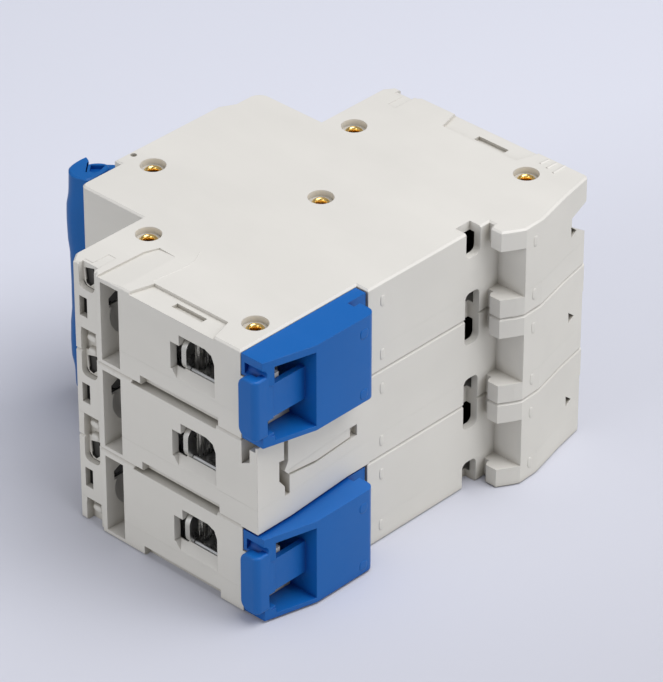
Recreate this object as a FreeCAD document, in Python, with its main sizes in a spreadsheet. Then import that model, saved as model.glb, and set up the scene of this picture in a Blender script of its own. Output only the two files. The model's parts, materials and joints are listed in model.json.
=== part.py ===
import FreeCAD, Part
import os
import re
import Sketcher

# Three-pole miniature circuit breaker, lying on its side.
# X is the height of the breaker, with its lower terminals at +X.
# -Y is the front with the handle, +Y is the rail side, and y = 0 is the rail seat.
# Z runs across the three poles, and z = 0 is the middle of the middle pole.
# All lengths are in millimetres and all angles in degrees.

SIZES = {
    # Pole housing
    "pole_pitch": 18.0,
    "end_face": 41.3,
    "shoulder": 44.8,
    "window_half": 22.6,
    "front_face": 60.5,
    "raised_face": 62.1,
    "raised_near": 12.5,
    "raised_far": 13.5,
    "raised_run": 3.0,
    "face_step": 0.6,
    "step_start": 37.9,
    "corner_run": 2.0,
    "corner_drop": 1.4,
    "wall": 1.5,
    "base_skin": 1.8,
    "cover_skin": 1.6,
    "cover_depth": 5.0,
    "edge_break": 0.35,
    "near_round": 1.3,
    "far_round": 2.6,
    # Rail seat and hook
    "rail_half": 17.5,
    "hook_tip": 16.4,
    "hook_root": 20.4,
    "hook_gap": 1.2,
    "hook_groove": 17.9,
    "hook_top": 6.4,
    "hook_tab": 4.0,
    "tail_start": 38.5,
    "clip_wall": 13.0,
    "clip_sink": 2.7,
    "clip_floor": 2.5,
    "ledge_rise": 1.2,
    "ledge_edge": 2.6,
    "ledge_end": 36.0,
    "island_rise": 1.0,
    "island_low": 4.5,
    "island_high": 4.1,
    # Six hollow rivets
    "rivet_hole": 3.0,
    "rivet_shank": 2.8,
    "rivet_bore": 1.5,
    "rivet_head": 4.5,
    "rivet_rim": 0.6,
    "rivet_sink": 4.75,
    "rivet_depth": 1.3,
    "boss_width": 4.4,
    # Terminals
    "clamp_centre": 1.2,
    "screw_inset": 6.9,
    "chamber_depth": 13.3,
    "chamber_front": 30.5,
    "partition": 1.5,
    "slot_front": 36.3,
    "slot_back": 31.9,
    "slot_depth": 11.8,
    "slot_low": 8.0,
    "slot_high": 7.9,
    "tunnel_width": 6.4,
    "driver_width": 5.8,
    "disc_width": 9.6,
    "notch_low": 4.1,
    "notch_round": 1.2,
    "ramp_low": 3.5,
    "entry_front": 17.3,
    "entry_back": 8.9,
    "entry_low": 1.7,
    "entry_high": 5.5,
    "entry_round": 2.2,
    "strap_front": 17.7,
    "strap_thick": 1.6,
    "strap_width": 6.2,
    "strap_room": 0.1,
    "cage_length": 8.2,
    "cage_width": 9.6,
    "cage_skin": 1.0,
    "cage_front": 20.9,
    "cage_head": 2.5,
    "cage_back": 9.3,
    "screw_width": 5.0,
    "screw_head": 7.0,
    "screw_head_high": 2.7,
    "screw_top": 30.2,
    "screw_slot": 1.0,
    "screw_room": 0.2,
    # Handle
    "toggle_pivot": 53.0,
    "half_throw": 40.0,
    "drum_width": 13.2,
    "drum_low": 6.4,
    "drum_high": 5.0,
    "toggle_thick": 5.0,
    "toggle_reach": 20.0,
    "toggle_side": 6.0,
    "pin_width": 3.0,
    "pin_room": 0.05,
    "pin_sink": 0.9,
    "crank": 2.2,
    "crank_pin": 1.6,
    "link_low": 2.6,
    "link_thick": 1.6,
    "link_width": 2.0,
    "link_eye": 3.2,
    "heel_eye": 4.8,
    "heel_play": 0.62,
    "window_long": 22.4,
    "window_wide": 13.8,
    "bar_half": 19.6,
    "wing_half": 23.0,
    "bar_inner": 16.6,
    "bar_outer": 21.0,
    "bar_back": 6.4,
    "wing_front": 4.5,
    "wing_peak": 23.6,
    # Contacts
    "arm_pivot_x": 6.5,
    "arm_pivot_y": 38.0,
    "arm_open": 13.6,
    "arm_low": 0.6,
    "arm_high": 2.0,
    "arm_reach": 22.6,
    "arm_heel": 11.9,
    "arm_drop": 1.4,
    "pad_thick": 0.8,
    "contact_face": 0.1,
    "contact_room": 0.1,
    "pad_front": 19.0,
    "pad_back": 16.2,
    # Arc chute
    "plate_count": 9,
    "plate_pitch": 1.8,
    "plate_thick": 0.8,
    "plate_start": 0.6,
    "plate_front": 14.2,
    "plate_room": 0.3,
    "plate_low": 5.0,
    "plate_high": 6.0,
    "notch_deep": 4.0,
    "sheet_thick": 0.6,
    # Trip unit
    "coil_x": 16.0,
    "coil_front": 36.6,
    "coil_back": 25.2,
    "coil_width": 11.0,
    "coil_bore": 4.6,
    "core_width": 4.4,
    "striker_width": 1.8,
    "striker_tip": 39.9,
    "yoke_thick": 1.2,
    "yoke_half": 4.5,
    "bimetal_x": 19.0,
    "bimetal_thick": 1.0,
    "bimetal_tip": 33.5,
    "bimetal_foot": 9.5,
    "bimetal_half": 3.0,
    "lever_x": 13.0,
    "lever_y": 44.0,
    "lever_low": 3.0,
    "lever_thick": 2.0,
    "lever_pin": 2.4,
    "trip_bar_x": 17.6,
    "trip_bar_y": 42.6,
    "trip_bar_width": 2.4,
    "trip_bar_room": 0.5,
    # Rail clips
    "clip_low": 8.5,
    "clip_high": 8.6,
    "clip_room": 0.1,
    "clip_outer": 5.0,
    "clip_crease": 30.9,
    "clip_lip": 16.4,
    "clip_gap": 1.3,
    "nose_reach": 2.0,
    "nose_low": 6.4,
    "nose_high": 5.6,
    "nose_round": 1.9,
    "bar_low": 3.2,
    "bar_high": 3.3,
}

# The place of each rivet, seen from the side
RIVETS = {
    "rivet_one": (9.1, -55.9),
    "rivet_two": (25.9, -40.0),
    "rivet_three": (33.5, -6.8),
    "rivet_four": (-3.5, -26.8),
    "rivet_five": (-25.4, -39.4),
    "rivet_six": (-34.2, -5.9),
}

POLES = (-1, 0, 1)

doc = FreeCAD.newDocument("circuit_breaker")
sheet = doc.addObject("Spreadsheet::Sheet", "Sizes")


def fill_sheet():
    sizes = dict(SIZES)
    for name, place in RIVETS.items():
        sizes[name + "_x"] = place[0]
        sizes[name + "_y"] = place[1]
    for row, (alias, value) in enumerate(sizes.items(), start=1):
        sheet.set("A%d" % row, alias)
        sheet.set("B%d" % row, repr(value))
        sheet.setAlias("B%d" % row, alias)
    doc.recompute()
    return sizes


ALIASES = fill_sheet()
parts = {}


def tied(expression):
    """The expression with each size's name pointing at the sheet."""
    def point(match):
        word = match.group()
        return "Sizes." + word if word in ALIASES else word
    return re.sub(r"[a-z]+(?:_[a-z]+)*", point, str(expression))


def number(expression):
    """The expression's value in millimetres or degrees."""
    value = sheet_probe.evalExpression(tied(expression))
    return float(getattr(value, "Value", value))


sheet_probe = doc.addObject("App::FeaturePython", "Probe")


def new_body(label):
    body = doc.addObject("PartDesign::Body", label)
    body.Label = label
    return body


def add_sketch(body, name, axis, offset, loops):
    """A sketch across the axis, its points held from the origin by the sheet's sizes."""
    role = {"x": "YZ_Plane", "y": "XZ_Plane", "z": "XY_Plane"}[axis]
    sketch = body.newObject("Sketcher::SketchObject", name)
    plane = [f for f in body.Origin.OriginFeatures if f.Role == role][0]
    sketch.AttachmentSupport = (plane, "")
    sketch.MapMode = "FlatFace"
    sketch.setExpression("AttachmentOffset.Base.z", tied(offset))
    draw(sketch, loops)
    return sketch


def draw(sketch, loops):
    for loop in loops:
        if loop[0] == "circle":
            add_circle(sketch, *loop[1:])
        else:
            add_outline(sketch, loop)


def hold(sketch, kind, geometry, point, expression):
    if point:
        rule = Sketcher.Constraint(kind, -1, 1, geometry, point, number(expression))
    else:
        rule = Sketcher.Constraint(kind, geometry, number(expression))
    index = sketch.addConstraint(rule)
    sketch.setExpression("Constraints[%d]" % index, tied(expression))


def add_circle(sketch, across, up, radius):
    centre = FreeCAD.Vector(number(across), number(up), 0)
    normal = FreeCAD.Vector(0, 0, 1)
    circle = sketch.addGeometry(Part.Circle(centre, normal, number(radius)), False)
    hold(sketch, "DistanceX", circle, 3, across)
    hold(sketch, "DistanceY", circle, 3, up)
    hold(sketch, "Radius", circle, 0, radius)


def add_outline(sketch, points):
    spots = [FreeCAD.Vector(number(across), number(up), 0) for across, up in points]
    lines = []
    for start, end in zip(spots, spots[1:] + spots[:1]):
        lines.append(sketch.addGeometry(Part.LineSegment(start, end), False))
    for line, following in zip(lines, lines[1:] + lines[:1]):
        sketch.addConstraint(Sketcher.Constraint("Coincident", line, 2, following, 1))
    for line, (across, up) in zip(lines, points):
        hold(sketch, "DistanceX", line, 1, across)
        hold(sketch, "DistanceY", line, 1, up)


def box_loop(left, right, bottom, top):
    return [(left, bottom), (right, bottom), (right, top), (left, top)]


def prism(body, name, axis, low, high, loops, cut=False):
    """Adds or cuts the loops' shape from low to high along the axis."""
    before = body.Shape.Volume if body.Tip else 0.0
    kind = "PartDesign::Pocket" if cut else "PartDesign::Pad"
    start = high if cut else low
    if axis == "y":
        start = "-(%s)" % (low if cut else high)
    sketch = add_sketch(body, name + "_sketch", axis, start, loops)
    feature = body.newObject(kind, name)
    feature.Profile = sketch
    feature.setExpression("Length", tied("(%s) - (%s)" % (high, low)))
    doc.recompute()
    after = feature.Shape.Volume
    if abs(after - before) < 1e-4:
        raise ValueError(body.Label + ": " + name + " changes nothing")
    return feature


def turned(body, name, axis, profile, cut=False):
    """Revolves the profile about the body's own axis, for profiles in the XY or XZ plane."""
    plane = "y" if axis == "z" else "z"
    sketch = add_sketch(body, name + "_sketch", plane, "0", [profile])
    kind = "PartDesign::Groove" if cut else "PartDesign::Revolution"
    feature = body.newObject(kind, name)
    feature.Profile = sketch
    role = {"y": "Y_Axis", "z": "Z_Axis"}[axis]
    line = [f for f in body.Origin.OriginFeatures if f.Role == role][0]
    feature.ReferenceAxis = (line, [""])
    feature.Angle = 360
    doc.recompute()
    return feature


def edges_along(feature, axis, places):
    """Names of the feature's straight edges along the axis that stand at the places."""
    found = []
    for index, edge in enumerate(feature.Shape.Edges, start=1):
        if edge.Curve.TypeId != "Part::GeomLine":
            continue
        first, last = edge.Vertexes[0].Point, edge.Vertexes[-1].Point
        spot = {"x": (first.y, first.z), "y": (first.x, first.z), "z": (first.x, first.y)}[axis]
        run = last - first
        along = {"x": run.x, "y": run.y, "z": run.z}[axis]
        if abs(abs(along) - run.Length) > 1e-6:
            continue
        for across, up in places:
            if abs(spot[0] - number(across)) < 1e-3 and abs(spot[1] - number(up)) < 1e-3:
                found.append("Edge%d" % index)
    return found


def rounded(body, name, axis, places, radius):
    base = body.Tip
    names = edges_along(base, axis, places)
    if not names:
        raise ValueError(body.Label + ": " + name + " finds no edge")
    feature = body.newObject("PartDesign::Fillet", name)
    feature.Base = (base, names)
    feature.setExpression("Radius", tied(radius))
    doc.recompute()
    return feature


def broken_rim(body, name, levels, size):
    """A small chamfer on every edge that lies in one of the planes z = level."""
    base = body.Tip
    heights = [number(level) for level in levels]
    names = []
    for index, edge in enumerate(base.Shape.Edges, start=1):
        for height in heights:
            if all(abs(v.Point.z - height) < 1e-6 for v in edge.Vertexes):
                names.append("Edge%d" % index)
    feature = body.newObject("PartDesign::Chamfer", name)
    feature.Base = (base, names)
    feature.setExpression("Size", tied(size))
    doc.recompute()
    return feature


def rounded_tool(name, axis, low, high, loop, corners, radius):
    """A straight-sided tool with some of its long edges rounded."""
    tool = new_body(name)
    prism(tool, name + "_run", axis, low, high, [loop])
    rounded(tool, name + "_corners", axis, corners, radius)
    return tool


SKETCH_TURNS = {
    "x": FreeCAD.Rotation(FreeCAD.Vector(0, 1, 0), FreeCAD.Vector(0, 0, 1), FreeCAD.Vector(1, 0, 0)),
    "y": FreeCAD.Rotation(FreeCAD.Vector(1, 0, 0), FreeCAD.Vector(0, 0, 1), FreeCAD.Vector(0, -1, 0)),
    "z": FreeCAD.Rotation(),
}


def solid(name, axis, low, high, loops):
    """The loops' shape from low to high along the axis, by itself."""
    sketch = doc.addObject("Sketcher::SketchObject", name + "_sketch")
    sketch.Placement = FreeCAD.Placement(FreeCAD.Vector(), SKETCH_TURNS[axis])
    sketch.setExpression("Placement.Base." + axis, tied(low))
    draw(sketch, loops)
    run = doc.addObject("Part::Extrusion", name)
    run.Base = sketch
    run.DirMode = "Custom"
    run.Dir = FreeCAD.Vector(*[1 if letter == axis else 0 for letter in "xyz"])
    run.setExpression("LengthFwd", tied("(%s) - (%s)" % (high, low)))
    run.Solid = True
    run.FaceMakerClass = "Part::FaceMakerBullseye"
    doc.recompute()
    return run


def boolean(kind, name, first, *others):
    """One shape from several, by a cut, a common or a fuse."""
    result = doc.addObject(kind, name)
    result.Refine = False
    if kind == "Part::MultiFuse":
        result.Shapes = [first] + list(others)
    else:
        result.Base = first
        result.Tool = others[0]
    doc.recompute()
    return result


def placed(label, source, x="0", y="0", z="0"):
    """A copy of the source, moved by the given sizes."""
    copy = doc.addObject("Part::Compound", label)
    copy.Label = label
    copy.Links = [source]
    copy.setExpression("Placement.Base.x", tied(x))
    copy.setExpression("Placement.Base.y", tied(y))
    copy.setExpression("Placement.Base.z", tied(z))
    doc.recompute()
    return copy


def group(label, members):
    bundle = doc.addObject("Part::Compound", label)
    bundle.Label = label
    bundle.Links = members
    doc.recompute()
    return bundle


def keep(name, source):
    parts[name] = source


def for_each_pole(name, source):
    for pole in POLES:
        keep("%s_%d" % (name, pole + 2), placed("%s_%d" % (name, pole + 2), source,
                                                z="%d * pole_pitch" % pole))


def flip(side, expression):
    return expression if side > 0 else "-(%s)" % expression


def side_span(side, low, high):
    """The span from low to high, or its mirror image at the other end."""
    if side > 0:
        return low, high
    return "-(%s)" % high, "-(%s)" % low


# Heights across one pole, from the middle of that pole
POLE_LOW = "-pole_pitch / 2"
POLE_HIGH = "pole_pitch / 2"
PARTING = "cover_depth - pole_pitch / 2"
ROOM_LOW = "cover_skin - pole_pitch / 2"
ROOM_HIGH = "pole_pitch / 2 - base_skin"
PLATE_BACK = "-clip_sink - clip_floor - plate_room"
STRAP_LOW = "clamp_centre - strap_width / 2"
STRAP_HIGH = "clamp_centre + strap_width / 2"
ENDS = {"near": 1, "far": -1}

OUTLINE = [
    ("clip_wall", "0"),
    ("clip_wall", "-clip_sink"),
    ("end_face", "-clip_sink"),
    ("end_face", "face_step - step_start"),
    ("end_face - face_step", "-step_start"),
    ("end_face - face_step", "corner_drop - shoulder"),
    ("end_face - face_step - corner_run", "-shoulder"),
    ("window_half", "-shoulder"),
    ("window_half", "-front_face"),
    ("raised_near", "-front_face"),
    ("raised_near", "-raised_face"),
    ("-raised_far", "-raised_face"),
    ("-raised_far - raised_run", "-front_face"),
    ("-window_half", "-front_face"),
    ("-window_half", "-shoulder"),
    ("face_step + corner_run - end_face", "-shoulder"),
    ("face_step - end_face", "corner_drop - shoulder"),
    ("face_step - end_face", "-step_start"),
    ("-end_face", "face_step - step_start"),
    ("-end_face", "2"),
    ("face_step - end_face", "2.7"),
    ("-33.6", "4.1"),
    ("-25.1", "6.2"),
    ("-hook_root", "hook_top"),
    ("-hook_tip - 2.6", "hook_top - 0.7"),
    ("-hook_tip", "hook_top - 2.3"),
    ("-hook_tip", "hook_gap + 0.5"),
    ("-hook_tip - 0.8", "hook_gap"),
    ("-hook_groove", "hook_gap"),
    ("-hook_groove", "0"),
]

ROOM = [
    ("clip_wall - 1.6", "-wall"),
    ("clip_wall - 1.6", "-clip_sink - clip_floor"),
    ("end_face - wall - chamber_depth - partition", "-clip_sink - clip_floor"),
    ("end_face - wall - chamber_depth - partition", "-chamber_front"),
    ("end_face - slot_depth - wall", "-chamber_front"),
    ("end_face - slot_depth - wall", "wall + 0.2 - shoulder"),
    ("window_half - wall", "wall + 0.2 - shoulder"),
    ("window_half - wall", "wall - front_face"),
    ("raised_near - wall", "wall - front_face"),
    ("raised_near - wall", "wall - raised_face"),
    ("wall - raised_far", "wall - raised_face"),
    ("wall - raised_far - 1", "wall - front_face"),
    ("wall - window_half", "wall - front_face"),
    ("wall - window_half", "wall + 0.2 - shoulder"),
    ("wall + slot_depth - end_face", "wall + 0.2 - shoulder"),
    ("wall + slot_depth - end_face", "-chamber_front"),
    ("wall + chamber_depth + partition - end_face", "-chamber_front"),
    ("wall + chamber_depth + partition - end_face", "-wall"),
]

HOOK_ROOM = [
    ("2.6 - end_face", "-1.2"),
    ("wall + chamber_depth - end_face", "-1.2"),
    ("wall + chamber_depth - end_face", "0"),
    ("-hook_root - 1.6", "0"),
    ("-hook_root - 1.6", "hook_top - 1.8"),
    ("-25.3", "hook_top - 1.9"),
    ("-33.8", "2.5"),
    ("2.6 - end_face", "1.3"),
]


def chamber(side):
    """One terminal chamber, seen from the side."""
    inner = flip(side, "end_face - wall - chamber_depth")
    outer = flip(side, "end_face - wall")
    return box_loop(inner, outer, "-chamber_front", "-clip_sink - clip_floor")


def octagon(across, up, width):
    """An eight-sided loop, with its width measured over the flats."""
    far = "(%s) / 2" % width
    near = "(%s) * 0.2071" % width
    turns = [(far, near, 1, -1), (far, near, 1, 1), (near, far, 1, 1), (near, far, -1, 1),
             (far, near, -1, 1), (far, near, -1, -1), (near, far, -1, -1), (near, far, 1, -1)]
    return [("%s + %d * %s" % (across, right, along), "%s + %d * %s" % (up, high, rise))
            for along, rise, right, high in turns]


def at_rivets(kind, width):
    if kind == "octagon":
        return [octagon(name + "_x", name + "_y", width) for name in RIVETS]
    return [("circle", name + "_x", name + "_y", "(%s) / 2" % width) for name in RIVETS]


def make_block():
    """The solid outer form of one pole, with its clip seat."""
    body = new_body("pole_block")
    prism(body, "outline", "z", POLE_LOW, POLE_HIGH, [OUTLINE])
    rounded(body, "near_corner", "z", [("window_half", "-front_face")], "near_round")
    rounded(body, "far_corner", "z", [("-window_half", "-front_face")], "far_round")
    broken_rim(body, "rims", [POLE_LOW, POLE_HIGH], "edge_break")
    prism(body, "ledge", "z", POLE_LOW, "-ledge_edge",
          [box_loop("clip_wall", "ledge_end", "-clip_sink - 0.5", "ledge_rise - clip_sink")])
    prism(body, "island", "z", "-island_low", "island_high",
          [box_loop("ledge_end", "end_face", "-clip_sink - 0.5", "island_rise")])
    return body


def middle_seat():
    """The middle pole carries no clip: its seat is closed, but for a channel and a stepped slot."""
    deck = solid("deck", "z", "0.1 - pole_pitch / 2", "pole_pitch / 2 - 0.1", [[
        ("clip_wall - 0.5", "-clip_sink - 0.4"),
        ("end_face", "-clip_sink - 0.4"),
        ("end_face", "island_rise"),
        ("end_face - 8.3", "island_rise"),
        ("rail_half + 0.4", "0"),
        ("clip_wall - 0.5", "0"),
    ]])
    slot = solid("stepped_slot", "y", "-clip_sink", "island_rise + 1", [[
        ("33.8", "pole_pitch"),
        ("33.8", "2.7"),
        ("34.7", "1.1"),
        ("33.5", "-0.3"),
        ("33.5", "-4.1"),
        ("34.6", "-4.1"),
        ("34.7", "-2.1"),
        ("36.1", "-0.3"),
        ("36.1", "3.6"),
        ("34.8", "3.4"),
        ("34.8", "pole_pitch"),
    ]])
    channel = solid("channel", "y", "-1.15", "island_rise + 1",
                    [[("15.7", "-1.4"), ("27", "-1.4"), ("33.6", "-0.3"), ("33.6", "0.9"), ("15.7", "0.9")]])
    end_gap = solid("end_gap", "x", "end_face - 4", "end_face + 1", [[
        ("-clip_sink", "4.3"),
        ("-0.8", "5.2"),
        ("-0.8", "7.9"),
        ("0.6", "7.9"),
        ("0.6", "pole_pitch"),
        ("-clip_sink", "pole_pitch"),
    ]])
    cuts = boolean("Part::MultiFuse", "seat_cuts", slot, channel, end_gap)
    return boolean("Part::Cut", "middle_seat", deck, cuts)


def room_hollows():
    """The mechanism's room, the terminal chambers and the hook's hollow, round the bosses."""
    rooms = [ROOM, HOOK_ROOM, chamber(1), chamber(-1)]
    hollows = solid("rooms", "z", ROOM_LOW, ROOM_HIGH, rooms)
    bosses = solid("bosses", "z", ROOM_LOW, ROOM_HIGH, at_rivets("octagon", "boss_width"))
    return boolean("Part::Cut", "hollows", hollows, bosses)


def bearing_holes():
    """Blind bearings for the toggle, the contact arm and the trip lever."""
    spots = [
        ("circle", "0", "-toggle_pivot", "pin_width / 2 + pin_room"),
        ("circle", "arm_pivot_x", "-arm_pivot_y", "pin_width / 2 + pin_room"),
        ("circle", "lever_x", "-lever_y", "lever_pin / 2 + pin_room"),
    ]
    return solid("bearings", "z", "cover_skin - pin_sink - pole_pitch / 2",
                 "pole_pitch / 2 - base_skin + pin_sink", spots)


def window_and_back():
    """The toggle's window, the slots across the joints and the seat's finer cuts."""
    out = "pole_pitch / 2 + 1"
    middle = box_loop("-hook_root", "1 - hook_tip", "0", "hook_top + 1")
    window = box_loop("-window_long / 2", "window_long / 2", "-window_wide / 2", "window_wide / 2")
    groove = box_loop("26.5", "ledge_end", "-2.1", "2.1")
    undercut = box_loop("26.5", "ledge_end", "-3.2", "3.2")
    return [
        solid("window", "y", "-raised_face - 1", "1 - front_face", [window]),
        rounded_tool("high_joint_slot", "y", "-2.6", "0.5", box_loop("-15.6", "-11.9", "3.6", out),
                     [("-15.6", "3.6"), ("-11.9", "3.6")], "notch_round"),
        rounded_tool("low_joint_slot", "y", "-2.6", "0.5",
                     box_loop("-15.6", "-11.9", "-(%s)" % out, "-3.6"),
                     [("-15.6", "-3.6"), ("-11.9", "-3.6")], "notch_round"),
        far_cut(),
        solid("hook_middle", "z", "hook_tab - pole_pitch / 2", "pole_pitch / 2 - hook_tab", [middle]),
        solid("groove", "y", "-clip_sink - 0.9", "0.1 - clip_sink", [groove]),
        solid("undercut", "y", "-clip_sink - 1.6", "-clip_sink - 0.8", [undercut]),
    ]


def far_cut():
    """The slanted end of the hook's side, seen across the poles."""
    tail = [("-0.8", "-pole_pitch"), ("-0.8", "-1.2"), ("2.4", "3.2"), ("4", "3.2"), ("4", "-pole_pitch")]
    return solid("far_cut", "x", "-end_face - 1", "0.9 - end_face", [tail])


def wire_openings(end, side):
    """Openings in one end face: the wire entry, its notch, and the small holes in the strip."""
    entry = [
        ("-entry_front - 2.1", "-2"),
        ("-entry_front", "-2"),
        ("-entry_front", "-entry_low"),
        ("-entry_back", "-entry_low"),
        ("-entry_back", "entry_high - entry_round"),
        ("-entry_back - entry_round * 0.3", "entry_high - entry_round * 0.3"),
        ("-entry_back - entry_round", "entry_high"),
        ("-entry_front", "entry_high"),
        ("-entry_front", "3.4"),
        ("-entry_front - 2.1", "3.4"),
    ]
    out = "pole_pitch / 2 + 1"
    low, high = side_span(side, "end_face - wall - 0.1", "end_face + 1")
    flat_low, flat_high = side_span(side, "end_face - 2.3", "end_face + 1")
    deep_low, deep_high = side_span(side, "end_face - 6", "end_face + 1")
    deep = [
        [("-40.2", "6.8"), ("-39.4", "6"), ("-38.4", "6"), ("-38.4", out), ("-40.2", out)],
        box_loop("-42", "-38.4", "-4.9", "0.1 - notch_low"),
    ]
    tools = [
        solid(end + "_entry", "x", low, high, [entry]),
        solid(end + "_small_hole", "x", flat_low, flat_high,
              [box_loop("-42.2", "-40.3", "-1.6", "2.4")]),
        solid(end + "_deep_holes", "x", deep_low, deep_high, deep),
        lead_in(end, side),
    ]
    notches = [("high", "notch_low", "notch_low", out), ("low", "-notch_low", "-(%s)" % out, "-notch_low")]
    for name, edge, bottom, top in notches:
        tools.append(rounded_tool("%s_%s_notch" % (end, name), "x", flat_low, flat_high,
                                  box_loop("-42.1", "-38.3", bottom, top),
                                  [("-42.1", edge), ("-38.3", edge)], "notch_round"))
    return tools


def lead_in(end, side):
    """The slope that leads a wire into the opening."""
    slope = solid(end + "_slope", "y", "-20", "-8", [[
        (flip(side, "end_face - wall - 0.05"), "-entry_low"),
        (flip(side, "end_face + 0.05"), "-ramp_low"),
        (flip(side, "end_face + 1"), "-ramp_low"),
        (flip(side, "end_face + 1"), "-entry_low + 0.1"),
        (flip(side, "end_face - wall - 0.05"), "-entry_low + 0.1"),
    ]])
    low, high = side_span(side, "end_face - wall - 0.2", "end_face + 0.5")
    sides = solid(end + "_slope_sides", "x", low, high, [[
        ("-entry_front - 1.9", "-entry_low + 0.1"),
        ("-entry_front - 1.9", "-entry_low - 0.1"),
        ("-entry_front - 0.6", "-ramp_low"),
        ("-entry_back", "-ramp_low"),
        ("-entry_back", "-entry_low + 0.1"),
    ]])
    return boolean("Part::Common", end + "_lead_in", slope, sides)


def at_both_ends(low, high, bottom, top):
    """Two boxes, one at each end, the far one mirrored."""
    return [box_loop(*side_span(side, low, high), bottom, top) for side in ENDS.values()]


def terminal_hollows():
    """Screw tunnels, driver slots, strap slots and the relief on the side faces."""
    out = "pole_pitch / 2 + 1"
    across = [flip(side, "end_face - screw_inset") for side in ENDS.values()]
    tunnels = [("circle", x, "clamp_centre", "tunnel_width / 2") for x in across]
    drivers = [("circle", x, "clamp_centre", "driver_width / 2") for x in across]
    discs = [("circle", x, "-0.3", "disc_width / 2") for x in across]
    inner = "end_face - wall - chamber_depth"
    straps = at_both_ends(inner + " - partition - 0.1", inner + " + 0.1",
                          "-strap_front - strap_room", "strap_thick - strap_front + strap_room")
    zones = [[
        (flip(side, "end_face - 4.9"), "-27.9"),
        (flip(side, "end_face - 4.9"), "-10.3"),
        (flip(side, "end_face + 1"), "-8.5"),
        (flip(side, "end_face + 1"), "-29.5"),
    ] for side in ENDS.values()]
    return [
        solid("driver_slots", "z", "-slot_low", "slot_high",
              at_both_ends("end_face - slot_depth", "end_face + 1", "-slot_front", "-slot_back")),
        solid("tunnels", "y", "-shoulder - 1", "1 - slot_front", tunnels),
        solid("disc_rests", "y", "-slot_front - 0.6", "0.5 - slot_front", discs),
        solid("driver_holes", "y", "-slot_back - 1", "1 - chamber_front", drivers),
        solid("strap_slots", "z", STRAP_LOW + " - strap_room", STRAP_HIGH + " + strap_room", straps),
        solid("side_zones", "z", "pole_pitch / 2 - 0.6", out, zones),
        solid("side_notches", "z", "-(%s)" % out, "2 - pole_pitch / 2",
              at_both_ends("end_face - wall", "end_face + 1", "-27", "-8.2")),
        solid("side_grips", "z", "pole_pitch / 2 - 1.3", out,
              at_both_ends("37.5", "38.9", "-21.3", "-14.2")),
    ]


def make_cases():
    tools = [room_hollows(), bearing_holes()]
    tools += window_and_back() + terminal_hollows()
    for end, side in ENDS.items():
        tools += wire_openings(end, side)
    holes = at_rivets("circle", "rivet_hole")
    tools.append(solid("rivet_holes", "z", "-pole_pitch", "pole_pitch", holes))
    cuts = boolean("Part::MultiFuse", "cuts", *tools)
    moulding = boolean("Part::Cut", "moulding", make_block(), cuts)

    closed = boolean("Part::MultiFuse", "closed_moulding", moulding, middle_seat())

    # Each moulding parts into a deep base and a shallow cover
    far_out = "2 * end_face"
    reach = [box_loop("-" + far_out, far_out, "-" + far_out, far_out)]
    above = solid("above", "z", PARTING, "pole_pitch", reach)
    shells = {
        "case_base": boolean("Part::Common", "base_shell", moulding, above),
        "case_cover": boolean("Part::Cut", "cover_shell", moulding, above),
    }
    middles = {
        "case_base": boolean("Part::Common", "middle_base_shell", closed, above),
        "case_cover": boolean("Part::Cut", "middle_cover_shell", closed, above),
    }
    outermost = {"case_base": 1, "case_cover": -1}

    # The trip bar passes between the poles, and the rivets' heads sink into the outer faces
    bar_way = solid("bar_way", "z", "-pole_pitch", "pole_pitch",
                    [("circle", "trip_bar_x", "-trip_bar_y", "trip_bar_width / 2 + trip_bar_room")])
    sinks = at_rivets("circle", "rivet_sink")
    head_room = group("head_room", [
        solid("high_sinks", "z", "pole_pitch / 2 - rivet_depth", "pole_pitch", sinks),
        solid("low_sinks", "z", "-pole_pitch", "rivet_depth - pole_pitch / 2", sinks),
    ])
    for name, shell in shells.items():
        inner = boolean("Part::Cut", name + "_inner", shell, bar_way)
        middle = boolean("Part::Cut", name + "_middle", middles[name], bar_way)
        outer = boolean("Part::Cut", name + "_outer", shell, head_room)
        for pole in POLES:
            label = "%s_%d" % (name, pole + 2)
            chosen = middle if pole == 0 else outer if pole == outermost[name] else inner
            keep(label, placed(label, chosen, z="%d * pole_pitch" % pole))


def make_rivets():
    body = new_body("one_rivet")
    end = "3 * pole_pitch / 2 - rivet_depth"
    turned(body, "rivet", "z", [
        ("rivet_bore / 2", "-(%s) - rivet_rim" % end),
        ("rivet_head / 2", "-(%s)" % end),
        ("rivet_shank / 2", "-(%s)" % end),
        ("rivet_shank / 2", end),
        ("rivet_head / 2", end),
        ("rivet_bore / 2", "%s + rivet_rim" % end),
    ])
    copies = [placed("a_" + name, body, x=name + "_x", y=name + "_y") for name in RIVETS]
    keep("rivets", group("rivets", copies))


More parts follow.
